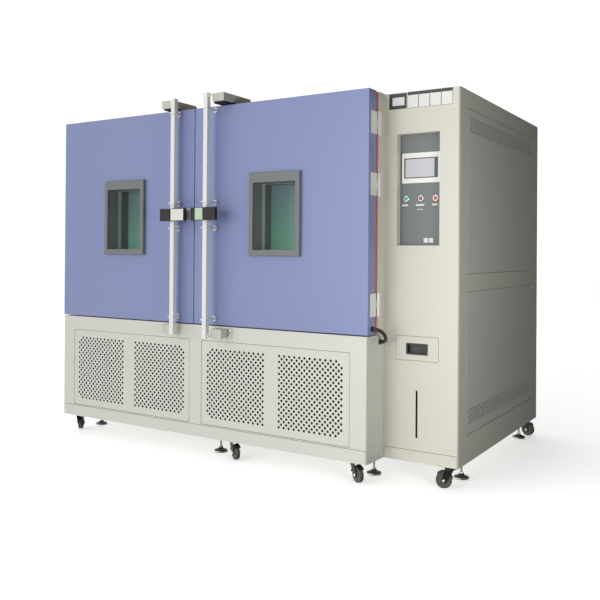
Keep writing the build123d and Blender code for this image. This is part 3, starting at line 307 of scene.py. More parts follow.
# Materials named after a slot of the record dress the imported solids. The others are for the scene's
# own pieces and for the keepers.
MATERIALS = {
    "base_paint": painted("base_paint", srgb(220, 221, 211), 0.42),
    "body_paint": painted("body_paint", srgb(217, 215, 201), 0.42),
    "side_paint": painted("side_paint", srgb(212, 213, 202), 0.42),
    "insulation_foam": moulded("insulation_foam", srgb(228, 215, 170), 0.9),
    "stainless": brushed("stainless", srgb(196, 197, 196), 0.22, 0.40),
    "motor_black": moulded("motor_black", srgb(36, 36, 38), 0.5),
    "refrigeration_metal": plated("refrigeration_metal", srgb(70, 72, 76), 0.5, 0.4),
    "control_grey": painted("control_grey", srgb(119, 123, 123), 0.42),
    "bezel_white": moulded("bezel_white", srgb(246, 247, 240), 0.34),
    "screen_glass": moulded("screen_glass", srgb(40, 42, 46), 0.22),
    "collar_steel": plated("collar_steel", srgb(225, 228, 226), 0.25, 0.7),
    "gauge_black": moulded("gauge_black", srgb(20, 20, 20), 0.4),
    "hinge_steel": brushed("hinge_steel", srgb(242, 242, 238), 0.28, 0.42, 0.25),
    "gear_white": painted("gear_white", srgb(244, 244, 238), 0.30, 0.02, 0.01, 0.3),
    "caster_black": moulded("caster_black", srgb(30, 30, 30), 0.40),
    "pull_grey": moulded("pull_grey", srgb(50, 52, 54), 0.35),
    "button_green": moulded("button_green", srgb(28, 168, 116), 0.28, 0.5),
    "button_dark_red": moulded("button_dark_red", srgb(132, 40, 44), 0.28, 0.5),
    "button_red": moulded("button_red", srgb(206, 44, 40), 0.28, 0.5),
    "fan_aluminium": plated("fan_aluminium", srgb(196, 196, 196), 0.35),
    "conduit_black": moulded("conduit_black", srgb(46, 48, 50), 0.30, 0.3),
    "foot_steel": plated("foot_steel", srgb(240, 240, 240), 0.16, 0.7),
    "foot_black": moulded("foot_black", srgb(26, 26, 28), 0.22, 0.4),
    "door_blue": painted("door_blue", srgb(137, 147, 193), 0.40, 0.03, 0.015, 0.10),
    "seal_red": moulded("seal_red", srgb(214, 78, 60), 0.6),
    "window_grey": painted("window_grey", srgb(121, 125, 124), 0.45),
    "window_glass": window_panes("window_glass", *TINT_Z, INNER_PANE_Y),
    "guide_chrome": plated("guide_chrome", srgb(244, 244, 242), 0.22, 0.4),
    "handle_black": moulded("handle_black", srgb(30, 30, 32), 0.34),
    "wheel_rubber": moulded("wheel_rubber", srgb(92, 90, 84), 0.6),
    "tag_white": moulded("tag_white", srgb(236, 236, 230), 0.5),
    # Dark tag colour, also used for the painted shade of the plinth seams
    "dark_tag_and_seam_shade": moulded("dark_tag_and_seam_shade", srgb(62, 64, 68), 0.45),
    "tag_green": moulded("tag_green", srgb(196, 224, 190), 0.45),
    "display_grey": glowing("display_grey", srgb(190, 192, 196), 0.16),
    "keeper_paint": painted("keeper_paint", srgb(206, 207, 194), 0.4),
    "spacer_metal": plated("spacer_metal", srgb(214, 220, 218), 0.35, 0.3),
    "screw_steel": plated("screw_steel", srgb(226, 226, 222), 0.24, 0.8),
    # Black rubber of the foot rings and glands, also used for the dark sheets and blocks that paint shade
    "packing_rubber": moulded("packing_rubber", srgb(24, 24, 26), 0.7),
}

for part in frame["record"]["subparts"]:
    shown = NODES[part["node"]]
    shown.data.materials.clear()
    shown.data.materials.append(MATERIALS[part["material_slot"]])

# The keepers are darker than the rest of the gear in their slot
NODES["lock_keepers"].data.materials[0] = MATERIALS["keeper_paint"]


# Mesh helpers

WELD = 1e-6
SHARP_ANGLE = 0.7


def weld(data):
    """Merges points that lie on each other, so that poles and seams are closed."""
    joined = bmesh.new()
    joined.from_mesh(data)
    bmesh.ops.remove_doubles(joined, verts=joined.verts, dist=WELD)
    joined.to_mesh(data)
    joined.free()


def mesh_piece(name, points, faces, material, body, smooth=False):
    """One object from an array of points and a list of faces; its slot is its material's name."""
    data = bpy.data.meshes.new(name)
    data.from_pydata(points.tolist(), [], faces.tolist() if hasattr(faces, "tolist") else faces)
    data.materials.append(MATERIALS[material])
    if smooth:
        weld(data)
        data.shade_smooth()
        data.set_sharp_from_angle(angle=SHARP_ANGLE)
    data.update()
    made = bpy.data.objects.new(name, data)
    bpy.context.scene.collection.objects.link(made)
    if body:
        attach(made, body)
    return made


class Plane2:
    """Maps panel coordinates (across, up, in) to the frame of the whole object:
    origin + across * a + up * z - in * outward."""

    def __init__(self, origin, across, outward):
        self.origin = np.array(origin, float)
        self.across = np.array(across, float)
        self.outward = np.array(outward, float)

    def at(self, local):
        """Points of the whole object for an N by 3 array of panel coordinates."""
        up = np.array((0.0, 0.0, 1.0))
        return (
            self.origin
            + local[:, :1] * self.across
            + local[:, 1:2] * up
            - local[:, 2:3] * self.outward
        )


def hole_cell(thickness):
    """One lattice cell: a square of side CELL round a circle of radius HOLE_R, and the hole's wall.

    The square's rim and the circle are both taken at equal angles; the rim point at an angle is the
    circle direction scaled until its larger coordinate reaches half a cell."""
    angle = np.arange(HOLE_STEPS) * 2 * np.pi / HOLE_STEPS + np.pi / 4
    ring = np.stack([np.cos(angle), np.sin(angle)], 1)
    rim = ring / np.abs(ring).max(1, keepdims=True) * CELL / 2
    flat = np.zeros((HOLE_STEPS, 1))
    points = np.vstack(
        [
            np.hstack([rim, flat]),
            np.hstack([ring * HOLE_R, flat]),
            np.hstack([ring * HOLE_R, flat + thickness]),
        ]
    )
    here = np.arange(HOLE_STEPS)
    there = (here + 1) % HOLE_STEPS
    front = np.stack([here, there, there + HOLE_STEPS, here + HOLE_STEPS], 1)
    wall = front + HOLE_STEPS
    return points, np.vstack([front, wall])


def rectangles(limits, depth=0.0):
    """Plain four-cornered faces from rows of (low across, low up, high across, high up)."""
    limits = np.array(limits, float).reshape(-1, 4)
    count = len(limits)
    corners = limits[:, [0, 1, 2, 1, 2, 3, 0, 3]].reshape(count * 4, 2)
    points = np.hstack([corners, np.full((count * 4, 1), depth)])
    return points, np.arange(count * 4).reshape(count, 4)


def join(groups):
    """Stacks several (points, faces) pairs into one."""
    points, faces, start = [], [], 0
    for some_points, some_faces in groups:
        points.append(some_points)
        faces.append(some_faces + start)
        start += len(some_points)
    return np.vstack(points), np.vstack(faces)


def perforated_field(low, columns, rows, solid, thickness):
    """A lattice field of square cells. Cells whose column and row add to an even number are holes,
    apart from those in the set of solid cells."""
    column, row = np.meshgrid(np.arange(columns), np.arange(rows), indexing="ij")
    holes = (column + row) % 2 == 0
    for cell in solid:
        holes[cell] = False
    centres = np.stack([low[0] + (column + 0.5) * CELL, low[1] + (row + 0.5) * CELL], 2)
    hole_centres = centres[holes]
    cell_points, cell_faces = hole_cell(thickness)
    count = len(hole_centres)
    shifted = np.repeat(cell_points[None], count, 0)
    shifted[:, :, :2] += hole_centres[:, None]
    shifted_faces = cell_faces[None] + (np.arange(count) * len(cell_points))[:, None, None]
    solid_centres = centres[~holes]
    half = CELL / 2
    plain_cells = np.hstack([solid_centres - half, solid_centres + half])
    return join(
        [
            (shifted.reshape(-1, 3), shifted_faces.reshape(-1, 4)),
            rectangles(plain_cells),
        ]
    )


PAN_BEVEL = 0.0012
PAN_FOLD = 0.012
PAN_SHEET = 0.0015


def corners_of(x0, z0, x1, z1):
    """The four corners of a rectangle, from its low one round by way of the high end of its foot."""
    return np.array([(x0, z0), (x1, z0), (x1, z1), (x0, z1)], float)


def ring_faces():
    """Four-cornered faces between one loop of four points and the next."""
    here = np.arange(4)
    there = (here + 1) % 4
    return np.stack([here, here + 4, there + 4, there], 1)


def pan_rim(width, height, fold, bevel):
    """The rim of a folded pan: a narrow chamfer round the face, then the folded edges."""
    inner = corners_of(bevel, bevel, width - bevel, height - bevel)
    outer = corners_of(0, 0, width, height)
    points = np.vstack(
        [
            np.hstack([inner, np.zeros((4, 1))]),
            np.hstack([outer, np.full((4, 1), bevel)]),
            np.hstack([outer, np.full((4, 1), fold)]),
        ]
    )
    chamfer = ring_faces()
    return points, np.vstack([chamfer, chamfer + 4])


def perforated_pan(name, node, plane, width, height, fields, body, material):
    """A folded pan whose face has one row of perforated fields side by side, all at one height.

    fields is a list of (low across, low up, columns, rows, solid cells), from left to right."""
    bevel = PAN_BEVEL
    low_up = fields[0][1]
    high_up = low_up + fields[0][3] * CELL
    groups = [
        pan_rim(width, height, PAN_FOLD, bevel),
        rectangles([(bevel, bevel, width - bevel, low_up), (bevel, high_up, width - bevel, height - bevel)]),
    ]
    edge = bevel
    for low, up, columns, rows, solid in fields:
        groups.append(rectangles([(edge, low_up, low, high_up)]))
        groups.append(perforated_field((low, up), columns, rows, solid, PAN_SHEET))
        edge = low + columns * CELL
    groups.append(rectangles([(edge, low_up, width - bevel, high_up)]))
    points, faces = join(groups)
    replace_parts(mesh_piece(name, plane.at(points), faces, material, body), node)


# Perforated panels of the base and the column

# The four panels, with the way each one faces
PANELS = (
    ("base_panel_left", (0, -1, 0)),
    ("base_panel_right", (0, -1, 0)),
    ("side_panel_upper", (1, 0, 0)),
    ("side_panel_lower", (1, 0, 0)),
)
BASE_CELLS = 25
BASE_FIELD_W = 0.384
BASE_FIELD_IN = 0.028
BASE_FIELD_UP = 0.036
SIDE_COLUMNS = 71
SIDE_ROWS = 5
SIDE_FIELD_DOWN = 0.0356
SIDE_FIELD_UP = 0.0463

for side in ("left", "right"):
    node = "base_panel_" + side
    low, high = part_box(node)
    plane = Plane2((low.x, low.y, low.z), (1, 0, 0), (0, -1, 0))
    width, height = high.x - low.x, high.z - low.z
    last = BASE_CELLS - 1
    margin = (BASE_FIELD_W - BASE_CELLS * CELL) / 2 + BASE_FIELD_IN
    right_low = width - margin - BASE_CELLS * CELL
    perforated_pan(
        "perforated_" + side,
        node,
        plane,
        width,
        height,
        [
            (margin, BASE_FIELD_UP, BASE_CELLS, BASE_CELLS, [(0, 0), (0, last)]),
            (right_low, BASE_FIELD_UP, BASE_CELLS, BASE_CELLS, [(last, 0), (last, last)]),
        ],
        "cabinet",
        "base_paint",
    )

for node, above in (("side_panel_upper", True), ("side_panel_lower", False)):
    low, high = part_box(node)
    plane = Plane2((high.x, low.y, low.z), (0, 1, 0), (1, 0, 0))
    width, height = high.y - low.y, high.z - low.z
    start_up = height - SIDE_FIELD_DOWN - SIDE_ROWS * CELL if above else SIDE_FIELD_UP
    perforated_pan(
        "vented_" + ("upper" if above else "lower"),
        node,
        plane,
        width,
        height,
        [((width - SIDE_COLUMNS * CELL) / 2, start_up, SIDE_COLUMNS, SIDE_ROWS, [])],
        "cabinet",
        "side_paint",
    )


# Small pieces on the column

# How far each kind of plate stands proud
TAG_T = 0.0008
DISPLAY_T = 0.0004
HEAD_T = 0.0006
FIELD_T = 0.0012
DARK_FIELD_T = 0.0014


def flat_tag(name, plane, limits, depth, material, body="cabinet"):
    """A thin plate with chamfered edges standing proud of a panel by its depth."""
    x0, z0, x1, z1 = limits
    points = np.array(
        [
            (x0, z0, 0.0),
            (x1, z0, 0.0),
            (x1, z1, 0.0),
            (x0, z1, 0.0),
            (x0 + depth / 2, z0 + depth / 2, -depth),
            (x1 - depth / 2, z0 + depth / 2, -depth),
            (x1 - depth / 2, z1 - depth / 2, -depth),
            (x0 + depth / 2, z1 - depth / 2, -depth),
        ]
    )
    faces = [(4, 5, 6, 7), (0, 1, 5, 4), (1, 2, 6, 5), (2, 3, 7, 6), (3, 0, 4, 7)]
    return mesh_piece(name, plane.at(points), faces, material, body)


column_low, column_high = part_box("column_shell")
# The shell's foremost edge lies this far in front of its face
EDGE_PROUD = 0.002
COLUMN_FACE = column_low.y + EDGE_PROUD


def front_plane(y):
    """Panel coordinates on the column's front at a depth: across from the column's right edge, up from
    the foot of its shell."""
    return Plane2((column_high.x, y, column_low.z), (1, 0, 0), (0, -1, 0))


# Three tags under the buttons, a shorter one under the middle one and two squares at the plate's foot
CONTROL_TAGS = (
    (-0.304, 1.209, -0.273, 1.218),
    (-0.233, 1.209, -0.190, 1.218),
    (-0.151, 1.209, -0.123, 1.218),
    (-0.226, 1.190, -0.196, 1.194),
    (-0.192, 1.034, -0.170, 1.056),
    (-0.166, 1.034, -0.144, 1.056),
)
control_plane = front_plane(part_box("control_plate")[0].y)
for number, limits in enumerate(CONTROL_TAGS):
    flat_tag("control_tag_%d" % number, control_plane, limits, TAG_T, "tag_white")

# Lit picture area of the screen, inside its black glass
DISPLAY = (-0.286, 1.346, -0.138, 1.433)
flat_tag("screen_display", front_plane(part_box("screen_glass")[0].y), DISPLAY, DISPLAY_T, "display_grey")

# Blank plates at the top of the column: one dark with a pale field, four pale with dark heads
DARK_PLATE = (-0.357, 1.672, -0.266, 1.746)
DARK_PLATE_FIELD = (-0.340, 1.688, -0.277, 1.728)
PLATE_START = -0.261
PLATE_PITCH = 0.0565
PLATE_W = 0.0555
PLATE_EDGE = 0.001
PLATE_Z = (1.671, 1.748)
FIELD_Z = (1.672, 1.733)

plates_plane = front_plane(COLUMN_FACE)
flat_tag("plate_dark", plates_plane, DARK_PLATE, TAG_T, "dark_tag_and_seam_shade")
flat_tag("plate_dark_field", plates_plane, DARK_PLATE_FIELD, DARK_FIELD_T, "tag_white")
for number in range(4):
    low_x = PLATE_START + number * PLATE_PITCH
    high_x = low_x + PLATE_W
    head = (low_x, PLATE_Z[0], high_x, PLATE_Z[1])
    field = (low_x + PLATE_EDGE, FIELD_Z[0], high_x - PLATE_EDGE, FIELD_Z[1])
    flat_tag("plate_head_%d" % number, plates_plane, head, HEAD_T, "dark_tag_and_seam_shade")
    flat_tag("plate_field_%d" % number, plates_plane, field, FIELD_T, "tag_white")


# Faces of the lock handles: a pale plate on the left one and a pale green one on the right

ROD_HALF = 0.014
FACE_INSET = 0.0025


def handle_face(side, low_x, high_x, proud, material):
    """A flat plate on a handle's front, between two distances from its rod's centre."""
    low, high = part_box("lock_handle_" + side)
    rod_low, rod_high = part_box("lock_bar_" + side)
    centre = rod_low.x + ROD_HALF if side == "right" else rod_high.x - ROD_HALF
    plane = Plane2((centre, low.y, 0.0), (1, 0, 0), (0, -1, 0))
    flat_tag(
        "handle_face_" + side,
        plane,
        (low_x, low.z + FACE_INSET, high_x, high.z - FACE_INSET),
        proud,
        material,
        "lock_" + side,
    )


handle_face("left", 0.010, 0.098, TAG_T, "tag_white")
handle_face("right", -0.047, 0.003, TAG_T / 2, "tag_green")


# Turned pieces


def lathe(profile, place, axis, steps):
    """A turned shape from a profile of (radius, height) rows that runs from its foot to its top.

    Point = place + axis * height + (u * cos angle + v * sin angle) * radius, with u and v square to
    the axis."""
    axis = np.array(axis, float) / np.linalg.norm(axis)
    lead = np.array((0.0, 0.0, 1.0)) if abs(axis[2]) < 0.9 else np.array((1.0, 0.0, 0.0))
    u = np.cross(lead, axis)
    u /= np.linalg.norm(u)
    v = np.cross(axis, u)
    angle = np.arange(steps) * 2 * np.pi / steps
    ring = np.cos(angle)[:, None] * u + np.sin(angle)[:, None] * v
    radius, height = np.array(profile, float).T
    points = np.array(place, float) + height[:, None, None] * axis + radius[:, None, None] * ring
    here = np.arange(steps)
    there = (here + 1) % steps
    row = np.stack([here, there, there + steps, here + steps], 1)
    faces = row[None] + (np.arange(len(profile) - 1) * steps)[:, None, None]
    return points.reshape(-1, 3), faces.reshape(-1, 4)


def turned(name, shapes, material, body):
    """One smooth piece from several turned shapes."""
    points, faces = join(shapes)
    return mesh_piece(name, points, faces, material, body, smooth=True)


# Button-head screw with a round socket
SCREW_PROFILE = np.array(
    [(0, 0), (3.8, 0), (3.8, 0.5), (3.3, 1.3), (2.2, 1.8), (1.7, 1.8), (1.6, 0.8), (0, 0.8)]
) / 1000

SCREW_INSET = 0.012
SCREW_STEPS = 16

for node, outward in PANELS:
    low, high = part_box(node)
    corners = []
    for up in (low.z + SCREW_INSET, high.z - SCREW_INSET):
        if outward[0]:
            corners += [(high.x, low.y + SCREW_INSET, up), (high.x, high.y - SCREW_INSET, up)]
        else:
            corners += [(low.x + SCREW_INSET, low.y, up), (high.x - SCREW_INSET, low.y, up)]
    screws = [lathe(SCREW_PROFILE, corner, outward, SCREW_STEPS) for corner in corners]
    turned(node + "_screws", screws, "screw_steel", "cabinet")


# Levelling feet: a black dome with a plated band on a rubber ring, a hexagon nut and a threaded stem

FOOT_DOME = np.array(
    [(0, 8), (36.4, 8), (35.4, 10), (31, 12.2), (24, 14.2), (17, 17), (13.4, 20), (12.6, 22), (0, 22)]
) / 1000
FOOT_BAND = np.array([(0, 2.5), (36.4, 2.5), (37, 3.2), (37, 7.4), (36.4, 8), (0, 8)]) / 1000
FOOT_RING = np.array([(0, 0), (35.5, 0), (36.4, 0.8), (36.4, 2.5), (0, 2.5)]) / 1000
FOOT_NUT = np.array([(0, 22), (10.4, 22), (11, 23), (11, 29), (10.4, 30), (0, 30)]) / 1000
THREAD_FOOT = 0.030
THREAD_PITCH = 0.00175
THREAD_ROOT = 0.0055
THREAD_CREST = 0.0060

FOOT_PLACES = (
    (-1.154, -0.443),
    (-0.125, -0.547),
    (0.763, -0.465),
    (1.150, -0.297),
    (-1.154, 0.565),
    (1.150, 0.669),
)


def thread_profile(foot, top):
    """Rings of a thread: the radius goes from THREAD_ROOT to THREAD_CREST and back once a pitch."""
    turns = int((top - foot) / THREAD_PITCH)
    step = np.arange(2 * turns + 1)
    radius = np.where(step % 2 == 0, THREAD_ROOT, THREAD_CREST)
    height = foot + step * THREAD_PITCH / 2
    return np.vstack([(0.0, foot), np.stack([radius, height], 1), (THREAD_ROOT, top), (0.0, top)])


stem = thread_profile(THREAD_FOOT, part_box("levelling_feet")[1].z)
for name, profile, steps, material in (
    ("foot_domes", FOOT_DOME, 40, "foot_black"),
    ("foot_bands", FOOT_BAND, 40, "foot_steel"),
    ("foot_rings", FOOT_RING, 40, "packing_rubber"),
    ("foot_nuts", FOOT_NUT, 6, "screw_steel"),
    ("foot_stems", stem, 16, "screw_steel"),
):
    shapes = [lathe(profile, (x, y, 0.0), (0, 0, 1), steps) for x, y in FOOT_PLACES]
    made = turned(name, shapes, material, "feet")
    if name == "foot_domes":
        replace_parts(made, "levelling_feet")


# Domed nuts on the casters' axles, and a dark sheet over each wheel as painted shade between the fork legs

AXLE_NUT = np.array([(0, 0), (8, 0), (8, 2), (7, 4.5), (4.5, 6), (0, 6.4)]) / 1000
FORK_HALF = 0.018
# The way each wheel trails at rest
CASTER_AIMS = ((-0.55, 0.83), (0.85, -0.50), (0.85, -0.50), (-0.94, -0.34), (-0.60, 0.80), (0.94, -0.25))


def wheel_axes(number, aim):
    """A wheel's centre, the way it trails and its axle's direction."""
    low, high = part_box("caster_wheel_%d" % number)
    along = np.array((aim[0], aim[1], 0.0)) / np.hypot(*aim)
    return (np.array(low) + np.array(high)) / 2, along, np.array((-along[1], along[0], 0.0))


for number, aim in enumerate(CASTER_AIMS, start=1):
    centre, along, across = wheel_axes(number, aim)
    nuts = [lathe(AXLE_NUT, centre + way * FORK_HALF * across, way * across, 20) for way in (-1, 1)]
    turned("axle_nuts_%d" % number, nuts, "screw_steel", "caster_%d" % number)


WHEEL_SHADE_R = 0.0425
WHEEL_SHADE_WALL = 0.0018
WHEEL_SHADE_HALF = 0.0148
WHEEL_SHADE_FROM = 42
WHEEL_SHADE_TO = 172
WHEEL_SHADE_STEPS = 25


# The sheet over each wheel is painted shade: it darkens the space between the fork legs
def wheel_shade_arc(centre, along, across):
    """A strip of sheet bent round the top of a wheel: an arc of radius WHEEL_SHADE_R from WHEEL_SHADE_FROM to
    WHEEL_SHADE_TO degrees above the way the wheel trails, nearly as wide as the fork is inside, given a wall
    by a second arc."""
    angle = np.radians(np.linspace(WHEEL_SHADE_FROM, WHEEL_SHADE_TO, WHEEL_SHADE_STEPS))
    arc = np.cos(angle)[:, None] * along + np.sin(angle)[:, None] * np.array((0.0, 0.0, 1.0))
    edges = [(WHEEL_SHADE_R, -1), (WHEEL_SHADE_R, 1), (WHEEL_SHADE_R - WHEEL_SHADE_WALL, 1), (WHEEL_SHADE_R - WHEEL_SHADE_WALL, -1)]
    rows = [centre + arc * radius + across * way * WHEEL_SHADE_HALF for radius, way in edges]
    points = np.stack(rows, 1).reshape(-1, 3)
    row = ring_faces()[:, [0, 3, 2, 1]]
    faces = row[None] + (np.arange(len(angle) - 1) * 4)[:, None, None]
    last = len(points) - 4
    ends = np.array([(3, 2, 1, 0), (last, last + 1, last + 2, last + 3)])
    return points, np.vstack([faces.reshape(-1, 4), ends])


# Painted shade over each wheel
for number, aim in enumerate(CASTER_AIMS, start=1):
    points, faces = wheel_shade_arc(*wheel_axes(number, aim))
    mesh_piece("caster_guard_%d" % number, points, faces, "caster_black", "caster_%d" % number)


# Painted shade: a black sheet behind the perforated fields, so that the holes read dark, and a dark strip in
# the gap round each panel as the gap's shade

SHADE_SHEET_BEHIND = 0.009
SHADE_SHEET_INSET = 0.016
GAP = 0.0015
GAP_PLAY = 0.00005
GAP_SHADE_BEHIND = 0.0008


def ring_strip(limits, inner, outer):
    """Four-cornered faces of a frame between a rectangle grown by inner and one grown by outer."""
    x0, z0, x1, z1 = limits
    near = corners_of(x0 - inner, z0 - inner, x1 + inner, z1 + inner)
    far = corners_of(x0 - outer, z0 - outer, x1 + outer, z1 + outer)
    return np.vstack([near, far]), ring_faces()


for node, outward in PANELS:
    low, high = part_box(node)
    if outward[0]:
        plane = Plane2((high.x, low.y, low.z), (0, 1, 0), outward)
        width, height = high.y - low.y, high.z - low.z
    else:
        plane = Plane2((low.x, low.y, low.z), (1, 0, 0), outward)
        width, height = high.x - low.x, high.z - low.z
    # A black sheet behind the holes: painted shade
    painted_shade_sheet = (SHADE_SHEET_INSET, SHADE_SHEET_INSET, width - SHADE_SHEET_INSET, height - SHADE_SHEET_INSET)
    points, faces = rectangles([painted_shade_sheet], SHADE_SHEET_BEHIND)
    mesh_piece(node + "_backing", plane.at(points), faces, "packing_rubber", "cabinet")
    # A dark strip just behind the panel's gap: painted shade in the gap
    flat, faces = ring_strip((0.0, 0.0, width, height), GAP_PLAY, GAP - GAP_PLAY)
    points = np.hstack([flat, np.full((len(flat), 1), GAP_SHADE_BEHIND)])
    mesh_piece(node + "_painted_gap_shade", plane.at(points), faces, "packing_rubber", "cabinet")


# Conduit from the right door's edge to the base, with a gland at each end

# The route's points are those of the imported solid
CONDUIT_ROUTE = (
    (0.8392, -0.649, 0.732),
    (0.863, -0.649, 0.732),
    (0.881, -0.635, 0.722),
    (0.889, -0.613, 0.702),
    (0.881, -0.587, 0.683),
    (0.865, -0.565, 0.665),
    (0.8392, -0.565, 0.665),
)
CONDUIT_R = 0.009
CONDUIT_RIB = 0.0008
CONDUIT_RIB_PITCH = 0.0045
# A direction the line never takes, from which the axes of every ring are built
RING_LEAD = (0.3, 0.2, 1.0)


def smooth_line(route):
    """Points along the NURBS spline whose control points are the route's."""
    curve = bpy.data.curves.new("conduit_line", "CURVE")
    curve.dimensions = "3D"
    spline = curve.splines.new("NURBS")
    spline.points.add(len(route) - 1)
    for point, place in zip(spline.points, route):
        point.co = (*place, 1.0)
    spline.order_u = 3
    spline.use_endpoint_u = True
    spline.resolution_u = 24
    holder = bpy.data.objects.new("conduit_line", curve)
    flat = bpy.data.meshes.new_from_object(holder)
    line = np.array([vertex.co for vertex in flat.vertices])
    bpy.data.objects.remove(holder)
    bpy.data.meshes.remove(flat)
    bpy.data.curves.remove(curve)
    return line


def ribbed_tube(line, steps=20):
    """A corrugated tube along a line: radius = CONDUIT_R less a rib's depth times the sine squared of
    the length along it. Each ring stands square to the line."""
    along = np.gradient(line, axis=0)
    along /= np.linalg.norm(along, axis=1, keepdims=True)
    side = np.cross(along, RING_LEAD)
    side /= np.linalg.norm(side, axis=1, keepdims=True)
    up = np.cross(along, side)
    reach = np.concatenate([[0.0], np.cumsum(np.linalg.norm(np.diff(line, axis=0), axis=1))])
    radius = CONDUIT_R - CONDUIT_RIB * np.sin(np.pi * reach / CONDUIT_RIB_PITCH) ** 2
    angle = np.arange(steps) * 2 * np.pi / steps
    ring = np.cos(angle)[None, :, None] * side[:, None] + np.sin(angle)[None, :, None] * up[:, None]
    points = line[:, None] + radius[:, None, None] * ring
    here = np.arange(steps)
    there = (here + 1) % steps
    row = np.stack([here, there, there + steps, here + steps], 1)
    faces = row[None] + (np.arange(len(line) - 1) * steps)[:, None, None]
    return points.reshape(-1, 3), faces.reshape(-1, 4)


conduit_line = smooth_line(CONDUIT_ROUTE)
tube_points, tube_faces = ribbed_tube(conduit_line)
conduit = mesh_piece("conduit_sleeve", tube_points, tube_faces, "conduit_black", None, smooth=True)
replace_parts(conduit, "door_conduit")
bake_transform(conduit)

GLAND = np.array([(0, 0), (12.5, 0), (13, 0.6), (13, 4), (12, 5), (11, 5), (10.2, 8), (0, 8)]) / 1000
for name, place, body in (("door", CONDUIT_ROUTE[0], "door_right"), ("base", CONDUIT_ROUTE[-1], "cabinet")):
    turned("conduit_gland_" + name, [lathe(GLAND, place, (1, 0, 0), 24)], "packing_rubber", body)


# Painted shade under the beams over the doors: a black block in the gap beneath each. And a bolted tab
# beside each keeper block on the base


def bevelled_block(low, high, bevel):
    """A box between two corners with its edges rounded off in two steps."""
    low, high = np.array(low, float), np.array(high, float)
    middle, half = (low + high) / 2, (high - low) / 2
    data = bmesh.new()
    bmesh.ops.create_cube(data, size=2.0)
    for vertex in data.verts:
        vertex.co = Vector(middle + np.array(vertex.co) * half)
    bmesh.ops.bevel(data, geom=data.edges[:], offset=bevel, segments=2, affect="EDGES")
    data.verts.ensure_lookup_table()
    points = np.array([vertex.co for vertex in data.verts])
    faces = [[vertex.index for vertex in face.verts] for face in data.faces]
    data.free()
    return points, faces


BOLT_PROFILE = np.array([(0, 0), (7.5, 0), (7.5, 1), (6, 1.4), (6, 4), (4.6, 5.2), (0, 5.6)]) / 1000
SHADE_BLOCK_H = 0.008
SHADE_BLOCK_BEVEL = 0.001
TAB_BEVEL = 0.0008
TAB_T = 0.003
TAB_W = 0.026
BLOCK_H = 0.044
BEAM_H = 0.042
BASE_FRONT = -0.693
SHADE_BLOCK_BACK = -0.600
BOLTS_UP = (0.011, 0.033)

keepers_low, keepers_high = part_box("lock_keepers")
BEAM_FOOT = keepers_high.z - BEAM_H
KEEPER_FOOT = keepers_low.z
for side, shade_block_low, shade_block_high, tab_low in (
    ("left", (-0.405, -0.715), -0.333, -0.403 - TAB_W),
    ("right", (-0.040, -0.740), 0.032, 0.030),
):
    # A black block under the beam: painted shade in the gap between the beam and the door's top
    shade_block = bevelled_block(
        (*shade_block_low, BEAM_FOOT - SHADE_BLOCK_H), (shade_block_high, SHADE_BLOCK_BACK, BEAM_FOOT), SHADE_BLOCK_BEVEL
    )
    mesh_piece("beam_painted_shade_" + side, *shade_block, "packing_rubber", "cabinet")
    tab = bevelled_block(
        (tab_low, BASE_FRONT - TAB_T, KEEPER_FOOT),
        (tab_low + TAB_W, BASE_FRONT, KEEPER_FOOT + BLOCK_H),
        TAB_BEVEL,
    )
    mesh_piece("keeper_tab_" + side, *tab, "keeper_paint", "cabinet")
    centre = tab_low + TAB_W / 2
    places = [(centre, BASE_FRONT - TAB_T, KEEPER_FOOT + up) for up in BOLTS_UP]
    bolts = [lathe(BOLT_PROFILE, place, (0, -1, 0), 20) for place in places]
    turned("keeper_bolts_" + side, bolts, "screw_steel", "cabinet")


# Bright spacer strip round the inside of each window, between its front pane and its middle pane

SPACER_Y = (0.0820, 0.1090)
# The solid spacer's inner face stands 1.7 mm inside the glass's edge
SPACER_IN = (0.00175, 0.00235)


def tunnel_strip(low, high, outer, inner):
    """A four-sided sleeve lining an opening from low to high: its outer wall stands inside the opening
    by outer, its inner wall by inner."""
    rings = []
    for inset, y in ((outer, low[1]), (inner, low[1]), (inner, high[1]), (outer, high[1])):
        x0, x1 = low[0] + inset, high[0] - inset
        z0, z1 = low[2] + inset, high[2] - inset
        rings.append([(x0, y, z0), (x1, y, z0), (x1, y, z1), (x0, y, z1)])
    points = np.array(rings).reshape(-1, 3)
    here = np.arange(4)
    there = (here + 1) % 4
    loops = ((0, 4), (4, 8), (8, 12), (12, 0))
    return points, np.vstack([np.stack([here + a, there + a, there + b, here + b], 1) for a, b in loops])


frame_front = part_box("window_frame_left")[0].y
for side in ("left", "right"):
    glass_low, glass_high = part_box("window_glass_" + side)
    strip_low = (glass_low.x, frame_front + SPACER_Y[0], glass_low.z)
    strip_high = (glass_high.x, frame_front + SPACER_Y[1], glass_high.z)
    points, faces = tunnel_strip(strip_low, strip_high, *SPACER_IN)
    mesh_piece("window_spacer_" + side, points, faces, "spacer_metal", "door_" + side)


# Thin dark strip along the top of each plinth: painted shade of the seam there

SEAM_H = 0.0016
SEAM_PROUD = 0.0003
SEAM_IN = 0.006
# Right edge of each front, its face, its width and the height of its plinth
for name, right_x, face_y, width, up in (
    ("base_front", 0.839, BASE_FRONT, 2.055, 0.167),
    ("column_front", 1.216, COLUMN_FACE, 0.377, 0.159),
):
    plane = Plane2((right_x, face_y, 0.0), (1, 0, 0), (0, -1, 0))
    limits = (SEAM_IN - width, up, -SEAM_IN, up + SEAM_H)
    # The strip is painted shade of the seam
    flat_tag("plinth_seam_shade_" + name, plane, limits, SEAM_PROUD, "dark_tag_and_seam_shade")


# Camera and light


